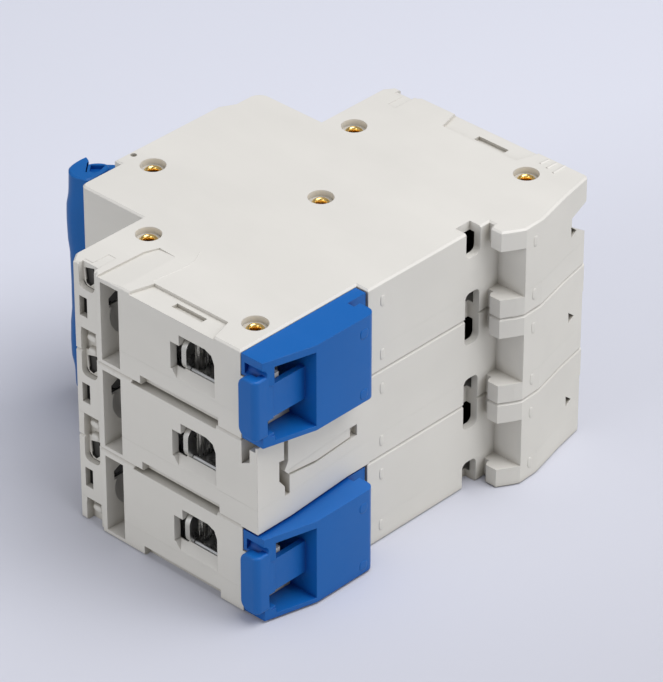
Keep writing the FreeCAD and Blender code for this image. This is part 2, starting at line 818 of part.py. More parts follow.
def make_clips():
    body = new_body("clip_body")
    inner = "clip_room - clip_sink"
    prism(body, "plate", "z", "-clip_low", "clip_high", [[
        ("clip_wall + 0.4", inner),
        ("end_face - 0.1", inner),
        ("end_face - 0.1", "2.3"),
        ("clip_crease", "clip_outer"),
        ("clip_lip", "clip_outer"),
        ("clip_lip", "clip_gap"),
        ("rail_half + 0.4", "clip_gap"),
        ("rail_half + 0.4", "-0.25"),
        ("clip_wall + 0.4", "-0.25"),
    ]])
    rounded(body, "lip_corner", "z", [("clip_lip", "clip_outer")], "1.7")
    prism(body, "ledge_relief", "y", "-clip_sink - 1", "ledge_rise - clip_sink + clip_room",
          [box_loop("clip_wall - 1", "ledge_end + 0.4", "-clip_low - 1", "0.2 - ledge_edge")],
          cut=True)
    prism(body, "island_relief", "y", "-clip_sink - 1", "island_rise + 0.15",
          [box_loop("31.2", "end_face + 1", "-island_low - 0.3", "island_high + 0.3")], cut=True)
    prism(body, "opening", "y", "-clip_sink - 1", "clip_outer + 1",
          [box_loop("clip_crease + 0.1", "end_face - 2.4", "0.9 - clip_low", "clip_high - 1.4")],
          cut=True)
    prism(body, "nose_hollow", "y", "-1.8", "clip_outer",
          [("circle", "end_face + 0.1", "nose_high + 0.4", "1.1")], cut=True)
    prism(body, "bar", "y", "island_rise + 0.15", "2.3",
          [box_loop("clip_crease - 0.5", "end_face + 0.5", "-bar_low", "bar_high")])
    prism(body, "nose", "z", "-nose_low", "nose_high", [[
        ("end_face - 2.4", "island_rise + 0.15"),
        ("end_face + 0.15", "island_rise + 0.15"),
        ("end_face + 0.15", "-1.6"),
        ("end_face + nose_reach", "-1.6"),
        ("end_face + nose_reach", "2.6"),
        ("end_face - 2.4", "2.6"),
    ]])
    rounded(body, "nose_top", "z", [("end_face + nose_reach", "2.6")], "1.2")
    rounded(body, "nose_corners", "x", [("-1.6", "nose_high"), ("-1.6", "-nose_low")], "nose_round")
    rounded(body, "nose_edge", "z", [("end_face + nose_reach", "-1.6")], "0.5")
    prism(body, "foot", "y", "-clip_sink - 0.9", inner,
          [box_loop("27", "30.8", "-1.8", "1.8")])
    prism(body, "toes", "y", "-clip_sink - 1.4", "-clip_sink - 0.9",
          [box_loop("27", "30.8", "-2.9", "2.9")])
    for pole in (-1, 1):
        label = "din_clip_%d" % (pole + 2)
        keep(label, placed(label, body, z="%d * pole_pitch" % pole))


def make_handle():
    drum = new_body("toggle_body")
    prism(drum, "drum", "z", "-drum_low", "drum_high", [("circle", "0", "0", "drum_width / 2")])
    prism(drum, "lever", "z", "-toggle_side", "toggle_side",
          [box_loop("drum_width / 3", "toggle_reach", "-toggle_thick / 2", "toggle_thick / 2")])
    prism(drum, "pins", "z", "cover_skin - pin_sink - pole_pitch / 2 + 0.2",
          "pole_pitch / 2 - base_skin + pin_sink - 0.2", [("circle", "0", "0", "pin_width / 2")])
    prism(drum, "link_slot", "z", "-link_low - 0.3", "link_thick - link_low + 0.3",
          [box_loop("-drum_width", "crank", "-drum_width", "drum_width")], cut=True)
    prism(drum, "crank_pin", "z", "-link_low - 0.5", "link_thick - link_low + 0.5",
          [("circle", "0", "crank", "crank_pin / 2")])
    drum.setExpression("Placement.Base.y", tied("-toggle_pivot"))
    drum.setExpression("Placement.Rotation.Angle", tied("half_throw - 90"))
    for_each_pole("toggle", drum)

    bar = new_body("handle_tie_bar")
    wing = [
        ("bar_outer", "-3.7"),
        ("wing_peak", "0.8"),
        ("wing_peak - 1.1", "wing_front - 1.3"),
        ("bar_outer - 0.7", "wing_front"),
        ("bar_inner", "wing_front - 0.2"),
    ]
    prism(bar, "grip", "z", "-bar_half", "bar_half",
          [[("bar_inner", "-bar_back"), ("bar_outer", "-bar_back")] + wing])
    prism(bar, "wings", "z", "-wing_half", "wing_half",
          [[("bar_outer - 1.4", "-3.7")] + wing[:-1] + [("bar_inner + 0.4", "wing_front - 0.3"),
                                                         ("bar_inner + 0.4", "1.5")]])
    prism(bar, "end_hollows", "z", "wing_half - 1.6", "wing_half + 1",
          [box_loop("bar_inner + 1.9", "bar_outer - 1.2", "-0.2", "wing_front - 1.1")], cut=True)
    for pole in POLES:
        prism(bar, "socket_%d" % (pole + 2), "z",
              "%d * pole_pitch - toggle_side - 0.1" % pole,
              "%d * pole_pitch + toggle_side + 0.1" % pole,
              [box_loop("bar_inner - 1", "toggle_reach + 0.1", "-toggle_thick / 2 - 0.1",
                        "toggle_thick / 2 + 0.1")], cut=True)
    bar.setExpression("Placement.Base.y", tied("-toggle_pivot"))
    bar.setExpression("Placement.Rotation.Angle", tied("half_throw - 90"))
    keep("handle_tie_bar", bar)


CRANK_X = "(crank * cos(half_throw))"
CRANK_Y = "(crank * sin(half_throw) - toggle_pivot)"
HEEL_X = "(arm_pivot_x - arm_heel * cos(arm_open) - arm_drop * sin(arm_open))"
HEEL_Y = "(arm_heel * sin(arm_open) - arm_drop * cos(arm_open) - arm_pivot_y)"


def make_links():
    body = new_body("link_body")
    run = "sqrt((%s - %s)^2 + (%s - %s)^2)" % (HEEL_X, CRANK_X, HEEL_Y, CRANK_Y)
    top = "link_thick - link_low"
    prism(body, "strip", "z", "-link_low", top,
          [box_loop("0", run, "-link_width / 2", "link_width / 2")])
    eyes = (("crank", "0", "link_eye / 2", "pin_room"), ("heel", run, "heel_eye / 2", "heel_play"))
    for name, place, eye, room in eyes:
        prism(body, name + "_eye", "z", "-link_low", top, [("circle", place, "0", eye)])
        prism(body, name + "_hole", "z", "-link_low", top,
              [("circle", place, "0", "crank_pin / 2 + " + room)], cut=True)
    body.setExpression("Placement.Base.x", tied(CRANK_X))
    body.setExpression("Placement.Base.y", tied(CRANK_Y))
    body.setExpression("Placement.Rotation.Angle",
                       tied("atan2(%s - %s; %s - %s)" % (HEEL_Y, CRANK_Y, HEEL_X, CRANK_X)))
    for_each_pole("link", body)


def make_contact_arms():
    body = new_body("arm_body")
    prism(body, "arm", "z", "-arm_low", "arm_high", [[
        ("-5.7", "arm_reach"),
        ("-3.8", "arm_reach"),
        ("-3.4", "16"),
        ("-1.3", "8"),
        ("2.5", "1.4"),
        ("2.5", "-1.6"),
        ("0.5", "-2.8"),
        ("0.2 - arm_heel", "-3.0"),
        ("-arm_heel - 1.5", "-arm_drop - 0.8"),
        ("-arm_heel - 1.5", "1 - arm_drop"),
        ("-arm_heel", "1.6 - arm_drop"),
        ("-2.9", "1.4"),
        ("-3.3", "8"),
        ("-5.3", "16"),
    ]])
    prism(body, "tip", "x", "contact_face + contact_room - arm_pivot_x",
          "contact_face + contact_room + pad_thick + 0.6 - arm_pivot_x",
          [box_loop("arm_pivot_y - pad_front", "arm_pivot_y - pad_back", "-1.8", "2.2")])
    prism(body, "pivot", "z", "cover_skin - pin_sink - pole_pitch / 2 + 0.2",
          "pole_pitch / 2 - base_skin + pin_sink - 0.2", [("circle", "0", "0", "pin_width / 2")])
    prism(body, "heel_pin", "z", "-link_low - 0.2", "0",
          [("circle", "-arm_heel", "-arm_drop", "crank_pin / 2")])
    body.setExpression("Placement.Base.x", tied("arm_pivot_x"))
    body.setExpression("Placement.Base.y", tied("-arm_pivot_y"))
    body.setExpression("Placement.Rotation.Angle", tied("-arm_open"))
    for_each_pole("contact_arm", body)


def make_fixed_contacts():
    body = new_body("fixed_body")
    face = "contact_face - pad_thick"
    prism(body, "strap", "z", "-3", "3", [[
        ("-coil_x - 5.2", "-22.4"),
        (face, "-22.4"),
        (face, PLATE_BACK),
        (face + " - 1", PLATE_BACK),
        (face + " - 1", "-21.2"),
        ("-coil_x - 5.2", "-21.2"),
    ]])
    prism(body, "tip", "x", face, "contact_face", [box_loop("-pad_front", "-pad_back", "-1.8", "2.2")])
    for_each_pole("fixed_contact", body)


def make_coils():
    body = new_body("coil_body")
    turned(body, "winding", "y", [
        ("coil_bore / 2", "-coil_back"),
        ("coil_bore / 2", "-coil_front"),
        ("coil_width / 2", "-coil_front"),
        ("coil_width / 2", "-coil_back"),
    ])
    upright = "coil_x + wall + chamber_depth + partition + 0.4 - end_face"
    prism(body, "line_strap", "z", STRAP_LOW, STRAP_HIGH, [[
        ("coil_x + 0.5 - end_face", "strap_thick - strap_front"),
        ("coil_x + 0.5 - end_face", "0.5 - strap_front"),
        ("coil_x + wall + 0.2 - end_face", "0.5 - strap_front"),
        ("coil_x + wall + 0.2 - end_face", "-strap_front"),
        (upright, "-strap_front"),
        (upright, "-35.6"),
        ("-4.6", "-35.6"),
        ("-4.6", "-34.4"),
        (upright + " + 1.2", "-34.4"),
        (upright + " + 1.2", "strap_thick - strap_front"),
    ] + grip_teeth("coil_x + wall + 8.2 - end_face", "-1.25")])
    rounded(body, "end_corners", "y",
            [("coil_x + 0.5 - end_face", STRAP_LOW), ("coil_x + 0.5 - end_face", STRAP_HIGH)], "2")
    prism(body, "tail", "z", "-1.5", "1.5", [box_loop("-5.2", "-3.6", "-coil_back - 0.5", "-22.4")])
    body.setExpression("Placement.Base.x", tied("-coil_x"))
    for_each_pole("coil", body)

    yoke = new_body("yoke_body")
    prism(yoke, "frame", "z", "-yoke_half", "yoke_half", [[
        ("-coil_x - 3", "-coil_front - 0.4 - yoke_thick"),
        ("7.2 - coil_x", "-coil_front - 0.4 - yoke_thick"),
        ("7.2 - coil_x", "yoke_thick + 0.4 - coil_back"),
        ("-coil_x - 3", "yoke_thick + 0.4 - coil_back"),
        ("-coil_x - 3", "0.4 - coil_back"),
        ("7.2 - coil_x - yoke_thick", "0.4 - coil_back"),
        ("7.2 - coil_x - yoke_thick", "-coil_front - 0.4"),
        ("-coil_x - 3", "-coil_front - 0.4"),
    ]])
    prism(yoke, "striker_hole", "y", "-coil_front - 2", "-coil_front",
          [("circle", "-coil_x", "0", "striker_width / 2 + 0.1")], cut=True)
    for_each_pole("yoke", yoke)

    core = new_body("plunger_body")
    turned(core, "core", "y", [
        ("0", "-striker_tip"),
        ("striker_width / 2", "-striker_tip"),
        ("striker_width / 2", "-33.5"),
        ("core_width / 2", "-33.5"),
        ("core_width / 2", "-coil_back"),
        ("0", "-coil_back"),
    ])
    core.setExpression("Placement.Base.x", tied("-coil_x"))
    for_each_pole("plunger", core)


def grip_teeth(first, step):
    """Notches across a strap's clamping face, with the x of the first one and the step between them."""
    top = "strap_thick - strap_front"
    points = []
    for index in range(6):
        start = "%s + %d * (%s)" % (first, index, step)
        points.append((start, top))
        points.append(("%s + 0.4 * (%s)" % (start, step), top + " - 0.35"))
        points.append(("%s + 0.6 * (%s)" % (start, step), top))
    return points


def make_bimetals():
    body = new_body("bimetal_body")
    prism(body, "strip", "z", "-bimetal_half", "bimetal_half",
          [box_loop("bimetal_x", "bimetal_x + bimetal_thick", "-bimetal_tip", "-bimetal_foot + 1.5")])
    for_each_pole("bimetal", body)

    strap = new_body("load_strap_body")
    runner = "plate_start + plate_count * plate_pitch - plate_pitch + plate_thick + 0.6"
    foot = "bimetal_x + bimetal_thick"
    prism(strap, "strap", "z", STRAP_LOW, STRAP_HIGH, [[
        ("end_face - 0.5", "0.5 - strap_front"),
        ("end_face - wall - 0.2", "0.5 - strap_front"),
        ("end_face - wall - 0.2", "-strap_front"),
        (foot + " + 0.8", "-strap_front"),
        (foot + " + 0.8", "-bimetal_foot - 1"),
        (foot, "-bimetal_foot - 1"),
        (foot, "1.5 - bimetal_foot"),
        (foot + " + 0.8", "1.5 - bimetal_foot"),
        (foot + " + 0.8", "-clip_sink - clip_floor - 1.2"),
        (runner + " + 1", "-clip_sink - clip_floor - 1.2"),
        (runner + " + 1", "-plate_front"),
        (runner, "-plate_front"),
        (runner, "-clip_sink - clip_floor - 0.2"),
        (foot + " + 2.2", "-clip_sink - clip_floor - 0.2"),
        (foot + " + 2.2", "strap_thick - strap_front"),
    ] + grip_teeth("end_face - wall - 8.2", "1.25") + [
        ("end_face - 0.5", "strap_thick - strap_front"),
    ]])
    rounded(strap, "end_corners", "y",
            [("end_face - 0.5", STRAP_LOW), ("end_face - 0.5", STRAP_HIGH)], "2")
    for_each_pole("load_strap", strap)


def make_chutes():
    plate = new_body("splitter_plate")
    middle = "(plate_high - plate_low) / 2"
    prism(plate, "plate", "x", "plate_start", "plate_start + plate_thick", [[
        ("-plate_front", "-plate_low"),
        (PLATE_BACK, "-plate_low"),
        (PLATE_BACK, "plate_high"),
        ("-plate_front", "plate_high"),
        ("-plate_front", middle + " + 2.5"),
        ("notch_deep - plate_front", middle + " + 0.5"),
        ("notch_deep - plate_front", middle + " - 0.5"),
        ("-plate_front", middle + " - 2.5"),
    ]])
    count = int(number("plate_count"))
    members = [placed("plate_%d" % index, plate, x="%d * plate_pitch" % index)
               for index in range(count)]
    span = box_loop("plate_start", "plate_start + plate_count * plate_pitch - plate_pitch + plate_thick",
                    "-plate_front", PLATE_BACK)
    high_sheet = new_body("high_sheet")
    prism(high_sheet, "sheet", "z", "plate_high", "plate_high + sheet_thick", [span])
    low_sheet = new_body("low_sheet")
    prism(low_sheet, "sheet", "z", "-plate_low - sheet_thick", "-plate_low", [span])
    stack = group("chute_stack", members + [high_sheet, low_sheet])
    for_each_pole("arc_chute", stack)


def make_trip_levers():
    body = new_body("lever_body")
    top = "lever_low + lever_thick"
    prism(body, "bar", "z", "lever_low", top, [[
        ("-coil_x - 2", "-43"),
        ("lever_x - 2", "-lever_y - 1.8"),
        ("lever_x + 1.6", "-lever_y - 2.2"),
        ("lever_x + 2.8", "-lever_y - 0.4"),
        ("bimetal_x - 0.6", "-bimetal_tip - 1.1"),
        ("bimetal_x - 0.6", "1.5 - bimetal_tip"),
        ("bimetal_x - 1.8", "1.5 - bimetal_tip"),
        ("bimetal_x - 1.8", "-bimetal_tip - 0.7"),
        ("lever_x + 0.4", "-lever_y + 2.4"),
        ("lever_x - 2", "-lever_y + 1.8"),
        ("-coil_x - 2", "-41"),
    ]])
    prism(body, "ear", "z", "lever_low", top, [("circle", "trip_bar_x", "-trip_bar_y", "2.2")])
    prism(body, "bar_hole", "z", "lever_low", top,
          [("circle", "trip_bar_x", "-trip_bar_y", "trip_bar_width / 2 + pin_room")], cut=True)
    prism(body, "striker_tab", "z", "-1.4", "lever_low + 0.2",
          [box_loop("-coil_x - 1.4", "1.4 - coil_x", "-42.9", "-41.9")])
    prism(body, "bimetal_tab", "z", "-2", "lever_low + 0.2",
          [box_loop("bimetal_x - 1.8", "bimetal_x - 0.6", "-bimetal_tip - 0.9", "1.5 - bimetal_tip")])
    prism(body, "pins", "z", "cover_skin - pin_sink - pole_pitch / 2 + 0.2",
          "pole_pitch / 2 - base_skin + pin_sink - 0.2",
          [("circle", "lever_x", "-lever_y", "lever_pin / 2")])
    for_each_pole("trip_lever", body)

    rod = doc.addObject("Part::Cylinder", "trip_bar")
    rod.Label = "trip_bar"
    rod.setExpression("Radius", tied("trip_bar_width / 2"))
    rod.setExpression("Height", tied("3 * pole_pitch - 2 * base_skin - 0.4"))
    rod.setExpression("Placement.Base.x", tied("trip_bar_x"))
    rod.setExpression("Placement.Base.y", tied("-trip_bar_y"))
    rod.setExpression("Placement.Base.z", tied("base_skin + 0.2 - 3 * pole_pitch / 2"))
    doc.recompute()
    keep("trip_bar", rod)


def make_terminals():
    cage = new_body("cage_body")
    low = "end_face - screw_inset - cage_length / 2"
    high = "end_face - screw_inset + cage_length / 2"
    half = "cage_width / 2"
    prism(cage, "cage", "x", low, high, [
        box_loop("-cage_front", "-cage_back", "clamp_centre - " + half, "clamp_centre + " + half),
        box_loop("cage_head - cage_front", "-cage_back - cage_skin",
                 "clamp_centre - %s + cage_skin" % half, "clamp_centre + %s - cage_skin" % half),
    ])
    prism(cage, "thread", "y", "-cage_front - 1", "cage_head + 1 - cage_front",
          [("circle", "end_face - screw_inset", "clamp_centre", "screw_width / 2 + pin_room")],
          cut=True)
    screw = new_body("screw_body")
    turned(screw, "screw", "y", [
        ("0", "-screw_top"),
        ("screw_head / 2", "-screw_top"),
        ("screw_head / 2", "screw_head_high - screw_top"),
        ("screw_width / 2", "screw_head_high - screw_top"),
        ("screw_width / 2", "-strap_front - screw_room"),
        ("0", "-strap_front - screw_room"),
    ])
    for name, left, right in (("slot", "screw_head", "screw_slot / 2"),
                              ("cross", "screw_slot / 2", "screw_head / 3")):
        prism(screw, name, "y", "-screw_top - 1", "1.3 - screw_top",
              [box_loop("-" + left, left, "-" + right, right)], cut=True)
    screw.setExpression("Placement.Base.x", tied("end_face - screw_inset"))
    screw.setExpression("Placement.Base.z", tied("clamp_centre"))
    for kind, source in (("clamp", cage), ("screw", screw)):
        mirrored = doc.addObject("Part::Mirroring", "far_" + kind)
        mirrored.Source = source
        mirrored.Normal = FreeCAD.Vector(1, 0, 0)
        doc.recompute()
        for_each_pole("load_" + kind, source)
        for_each_pole("line_" + kind, mirrored)


def make_springs_and_leads():
    spring = new_body("spring_body")
    prism(spring, "turns", "z", "drum_high + 0.2", "drum_high + 1.8", [
        ("circle", "0", "-toggle_pivot", "pin_width / 2 + 1.3"),
        ("circle", "0", "-toggle_pivot", "pin_width / 2 + 0.4"),
    ])
    prism(spring, "leg", "z", "drum_high + 0.2", "drum_high + 1",
          [box_loop("pin_width / 2 + 0.6", "pin_width / 2 + 1.2", "0.6 - toggle_pivot",
                    "5 - toggle_pivot")])
    springs = [placed("spring_%d" % (pole + 2), spring, z="%d * pole_pitch" % pole) for pole in POLES]
    keep("handle_springs", group("handle_springs", springs))

    lead = new_body("lead_body")
    prism(lead, "strip", "z", "-5", "-3.6", [[
        ("6.2", "-31.5"),
        ("7.4", "-32.2"),
        ("10.5", "-28.4"),
        ("14.5", "-28.2"),
        ("bimetal_x - 0.4", "-31.6"),
        ("bimetal_x + bimetal_thick", "-31.2"),
        ("bimetal_x + bimetal_thick", "-29.6"),
        ("bimetal_x - 0.2", "-30"),
        ("14.8", "-26.8"),
        ("10", "-27"),
        ("6.2", "-30"),
    ]])
    prism(lead, "arm_end", "z", "-4", "-arm_low", [box_loop("6.4", "8", "-32", "-30")])
    prism(lead, "bimetal_end", "z", "-4", "-bimetal_half",
          [box_loop("bimetal_x", "bimetal_x + bimetal_thick", "-31.2", "-29.6")])
    leads = [placed("lead_%d" % (pole + 2), lead, z="%d * pole_pitch" % pole) for pole in POLES]
    keep("braid_leads", group("braid_leads", leads))


def write_parts():
    doc.recompute()
    for obj in doc.Objects:
        if "Invalid" in obj.State or "Error" in obj.State:
            raise ValueError(obj.Label + " failed to build")
    os.makedirs("parts", exist_ok=True)
    for name, part in parts.items():
        if part.Shape.isNull() or not part.Shape.isValid():
            raise ValueError(name + " has no valid shape")
        part.Shape.exportStep("parts/%s.step" % name)
        print(name, len(part.Shape.Solids), round(part.Shape.Volume, 2))


make_cases()
make_rivets()
make_clips()
make_handle()
make_links()
make_contact_arms()
make_fixed_contacts()
make_coils()
make_bimetals()
make_chutes()
make_trip_levers()
make_terminals()
make_springs_and_leads()
write_parts()
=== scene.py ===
import json
import math

import bmesh
import bpy
from mathutils import Matrix, Vector


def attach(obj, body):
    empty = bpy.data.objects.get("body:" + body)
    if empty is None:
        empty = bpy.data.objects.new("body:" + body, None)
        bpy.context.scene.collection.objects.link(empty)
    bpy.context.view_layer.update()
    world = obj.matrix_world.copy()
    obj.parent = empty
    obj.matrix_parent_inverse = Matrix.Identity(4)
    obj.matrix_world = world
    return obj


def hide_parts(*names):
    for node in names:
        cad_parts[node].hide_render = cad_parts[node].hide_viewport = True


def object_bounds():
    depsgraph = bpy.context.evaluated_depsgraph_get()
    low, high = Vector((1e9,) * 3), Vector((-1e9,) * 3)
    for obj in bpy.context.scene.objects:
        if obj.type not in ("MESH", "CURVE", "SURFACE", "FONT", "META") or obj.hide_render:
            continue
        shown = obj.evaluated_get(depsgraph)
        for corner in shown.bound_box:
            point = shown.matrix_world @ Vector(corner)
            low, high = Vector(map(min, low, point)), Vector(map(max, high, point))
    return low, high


# The looks of a three-pole miniature circuit breaker, made round its solid model.
# +X is the end with the rail clips, -Y the front with the handle, +Y the rail side and +Z the
# side face that is on top in the photograph. Shapes are written in millimetres and turned into
# metres by MM. Pole 1 is the lowest pole and pole 3 the top one.

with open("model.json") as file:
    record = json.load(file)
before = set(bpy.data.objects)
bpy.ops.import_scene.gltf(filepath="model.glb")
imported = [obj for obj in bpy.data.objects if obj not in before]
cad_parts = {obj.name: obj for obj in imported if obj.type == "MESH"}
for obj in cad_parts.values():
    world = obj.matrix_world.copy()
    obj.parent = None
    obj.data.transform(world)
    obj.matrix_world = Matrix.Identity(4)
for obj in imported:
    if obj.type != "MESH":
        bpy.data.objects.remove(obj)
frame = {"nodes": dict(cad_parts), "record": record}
CAD_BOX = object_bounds()
MM = 0.001
SLOTS = {part["node"]: part["material_slot"] for part in frame["record"]["subparts"]}
BODIES = {node: body for body, nodes in frame["record"]["behaviour"]["bodies"].items()
          for node in nodes}

# The poles' middles, the poles that carry a rail clip, and the top side face
POLE_PITCH = 18
POLE_HEIGHTS = {pole: POLE_PITCH * (pole - 2) for pole in (1, 2, 3)}
CLIP_POLES = (1, 3)
TOP_POLE = 3
TOP_FACE = 27

# Mirrored shapes are made once for each side
BOTH_SIDES = (-1, 1)
X_AXIS = Vector((1, 0, 0))
Z_AXIS = Vector((0, 0, 1))

# Colours in linear light
HOUSING = (0.72, 0.70, 0.66)
CLIP_BLUE = (0.006, 0.122, 0.44)
HANDLE_BLUE = (0.005, 0.115, 0.40)
LEVER_GREY = (0.35, 0.35, 0.33)
BRASS = (1.0, 0.72, 0.27)
STEEL = (0.58, 0.58, 0.59)
ZINC = (0.70, 0.71, 0.72)
TIN = (0.80, 0.79, 0.76)
COPPER = (0.82, 0.42, 0.25)
LACQUER = (0.55, 0.22, 0.09)
BIMETAL = (0.66, 0.60, 0.50)
# Painted shade: the near black that the unlit hollows are painted
UNLIT = (0.05, 0.048, 0.045)
BACKDROP = (0.66, 0.675, 0.76)

# How much of its colour the plastic keeps along flow marks, and the metal where it is stained
FLOW_SHADE = 0.95
STAIN_SHADE = 0.88

# The radii by which edges look rounded, the grain's depth and how far the painted shade in
# corners reaches
PLASTIC_EDGE = 0.12 * MM
METAL_EDGE = 0.05 * MM
GRAIN_DEPTH = 0.02 * MM
CORNER_SHADE_REACH = 2.2 * MM

# The unlit hollows of one end of one pole, painted near black as painted shade, as low and high
# limits of x, y and z
HOLLOWS = [
    ((0, 39.75), (-30.3, -6.0), (-7.5, 7.5)),
    ((34.0, 39.35), (-42.3, -38.2), (3.5, 8.8)),
    ((30.0, 39.6), (-44.2, -36.35), (-3.4, 5.4)),
]


def new_material(name):
    """A material, its node tree and its one shader."""
    material = bpy.data.materials.new(name)
    material.use_nodes = True
    tree = material.node_tree
    tree.nodes.clear()
    output = tree.nodes.new("ShaderNodeOutputMaterial")
    shader = tree.nodes.new("ShaderNodeBsdfPrincipled")
    tree.links.new(shader.outputs["BSDF"], output.inputs["Surface"])
    return material, tree, shader


def grey(value):
    return (value, value, value)


def scaled(colour, factor):
    return tuple(channel * factor for channel in colour)


def noise(tree, scale, detail, stretch=(1, 1, 1)):
    """Noise over the object's own coordinates, at a scale in features per metre."""
    place = tree.nodes.new("ShaderNodeTexCoord")
    mapping = tree.nodes.new("ShaderNodeMapping")
    mapping.inputs["Scale"].default_value = stretch
    texture = tree.nodes.new("ShaderNodeTexNoise")
    texture.inputs["Scale"].default_value = scale
    texture.inputs["Detail"].default_value = detail
    tree.links.new(place.outputs["Object"], mapping.inputs["Vector"])
    tree.links.new(mapping.outputs["Vector"], texture.inputs["Vector"])
    return texture.outputs["Fac"]


def ramp(tree, source, low, high, low_at=0.35, high_at=0.65):
    """The source turned into a colour that runs from low to high between two values."""
    node = tree.nodes.new("ShaderNodeValToRGB")
    node.color_ramp.elements[0].position = low_at
    node.color_ramp.elements[1].position = high_at
    node.color_ramp.elements[0].color = (*low, 1)
    node.color_ramp.elements[1].color = (*high, 1)
    tree.links.new(source, node.inputs["Fac"])
    return node.outputs["Color"]


def mixed(tree, factor, first, second, blend="MIX"):
    """Two colours mixed by a factor. Each of the three is a plain value or a node's output."""
    node = tree.nodes.new("ShaderNodeMix")
    node.data_type = "RGBA"
    node.blend_type = blend
    for name, value in (("Factor", factor), ("A", first), ("B", second)):
        socket = node.inputs[name]
        if isinstance(value, float):
            socket.default_value = value
        elif isinstance(value, tuple):
            socket.default_value = (*value, 1)
        else:
            tree.links.new(value, socket)
    return node.outputs["Result"]


def calculated(tree, operation, *values):
    """A sum or test of up to three values, each a number or a node's output."""
    node = tree.nodes.new("ShaderNodeMath")
    node.operation = operation
    for place, value in enumerate(values):
        if isinstance(value, float):
            node.inputs[place].default_value = value
        else:
            tree.links.new(value, node.inputs[place])
    return node.outputs["Value"]


def corner_light(tree):
    """1 in the open and less near a corner, where painted shade is put."""
    node = tree.nodes.new("ShaderNodeAmbientOcclusion")
    node.samples = 6
    node.inputs["Distance"].default_value = CORNER_SHADE_REACH
    return node.outputs["AO"]


def in_hollow(tree):
    """1 inside the hollows of the three poles and 0 on every outer face: where painted shade
    goes.
    """
    place = tree.nodes.new("ShaderNodeTexCoord")
    parts = tree.nodes.new("ShaderNodeSeparateXYZ")
    tree.links.new(place.outputs["Object"], parts.inputs["Vector"])
    along = calculated(tree, "ABSOLUTE", parts.outputs["X"])
    half_pitch = POLE_PITCH / 2 * MM
    layer = calculated(tree, "WRAP", parts.outputs["Z"], half_pitch, -half_pitch)
    inside = 0.0
    for hollow in HOLLOWS:
        within = 1.0
        for value, (low, high) in zip((along, parts.outputs["Y"], layer), hollow):
            above = calculated(tree, "GREATER_THAN", value, low * MM)
            below = calculated(tree, "LESS_THAN", value, high * MM)
            between = calculated(tree, "MULTIPLY", above, below)
            within = calculated(tree, "MULTIPLY", between, within)
        inside = calculated(tree, "MAXIMUM", within, inside)
    return inside


def vary_roughness(tree, shader, source, middle, less, more):
    """Lets the source move the roughness from a little less to a little more than its middle."""
    rough = ramp(tree, source, grey(middle - less), grey(middle + more))
    tree.links.new(rough, shader.inputs["Roughness"])


def add_grain(tree, shader, source, strength, edge_radius):
    """A fine relief over edges that look rounded."""
    bevel = tree.nodes.new("ShaderNodeBevel")
    bevel.samples = 4
    bevel.inputs["Radius"].default_value = edge_radius
    bump = tree.nodes.new("ShaderNodeBump")
    bump.inputs["Strength"].default_value = strength
    bump.inputs["Distance"].default_value = GRAIN_DEPTH
    tree.links.new(source, bump.inputs["Height"])
    tree.links.new(bevel.outputs["Normal"], bump.inputs["Normal"])
    tree.links.new(bump.outputs["Normal"], shader.inputs["Normal"])


def moulded(name, colour, painted_corner_shade, roughness, gloss=0.5, hollows=False):
    """Moulded plastic: faint flow marks, a fine satin grain, softened edges, painted shade in its
    corners and, when hollows is set, painted shade in the hollows.
    """
    material, tree, shader = new_material(name)
    flow = noise(tree, scale=60.0, detail=4.0, stretch=(1, 0.4, 1))
    body = ramp(tree, flow, scaled(colour, FLOW_SHADE), colour)
    # Painted shade: near corners the colour is darkened towards the corner shade colour
    corner_shading = ramp(tree, corner_light(tree), painted_corner_shade, grey(1.0), low_at=0.25, high_at=0.8)
    shown = mixed(tree, 1.0, body, corner_shading, blend="MULTIPLY")
    # Painted shade: the hollows inside the poles are painted near black
    if hollows:
        shown = mixed(tree, in_hollow(tree), shown, UNLIT)
    tree.links.new(shown, shader.inputs["Base Color"])
    satin = noise(tree, scale=240.0, detail=5.0)
    vary_roughness(tree, shader, satin, roughness, less=0.05, more=0.06)
    grain = noise(tree, scale=2600.0, detail=2.0)
    add_grain(tree, shader, grain, strength=0.10, edge_radius=PLASTIC_EDGE)
    shader.inputs["IOR"].default_value = 1.5
    shader.inputs["Specular IOR Level"].default_value = gloss
    return material


def metal(name, colour, roughness, brushing=(1, 1, 1), brush_scale=900.0):
    """Plain metal with fine brushing and slight staining."""
    material, tree, shader = new_material(name)
    shader.inputs["Metallic"].default_value = 1.0
    stain = noise(tree, scale=130.0, detail=5.0)
    body = ramp(tree, stain, scaled(colour, STAIN_SHADE), colour)
    tree.links.new(body, shader.inputs["Base Color"])
    handling = noise(tree, scale=300.0, detail=4.0)
    vary_roughness(tree, shader, handling, roughness, less=0.06, more=0.08)
    strokes = noise(tree, brush_scale, detail=3.0, stretch=brushing)
    add_grain(tree, shader, strokes, strength=0.15, edge_radius=METAL_EDGE)
    return material
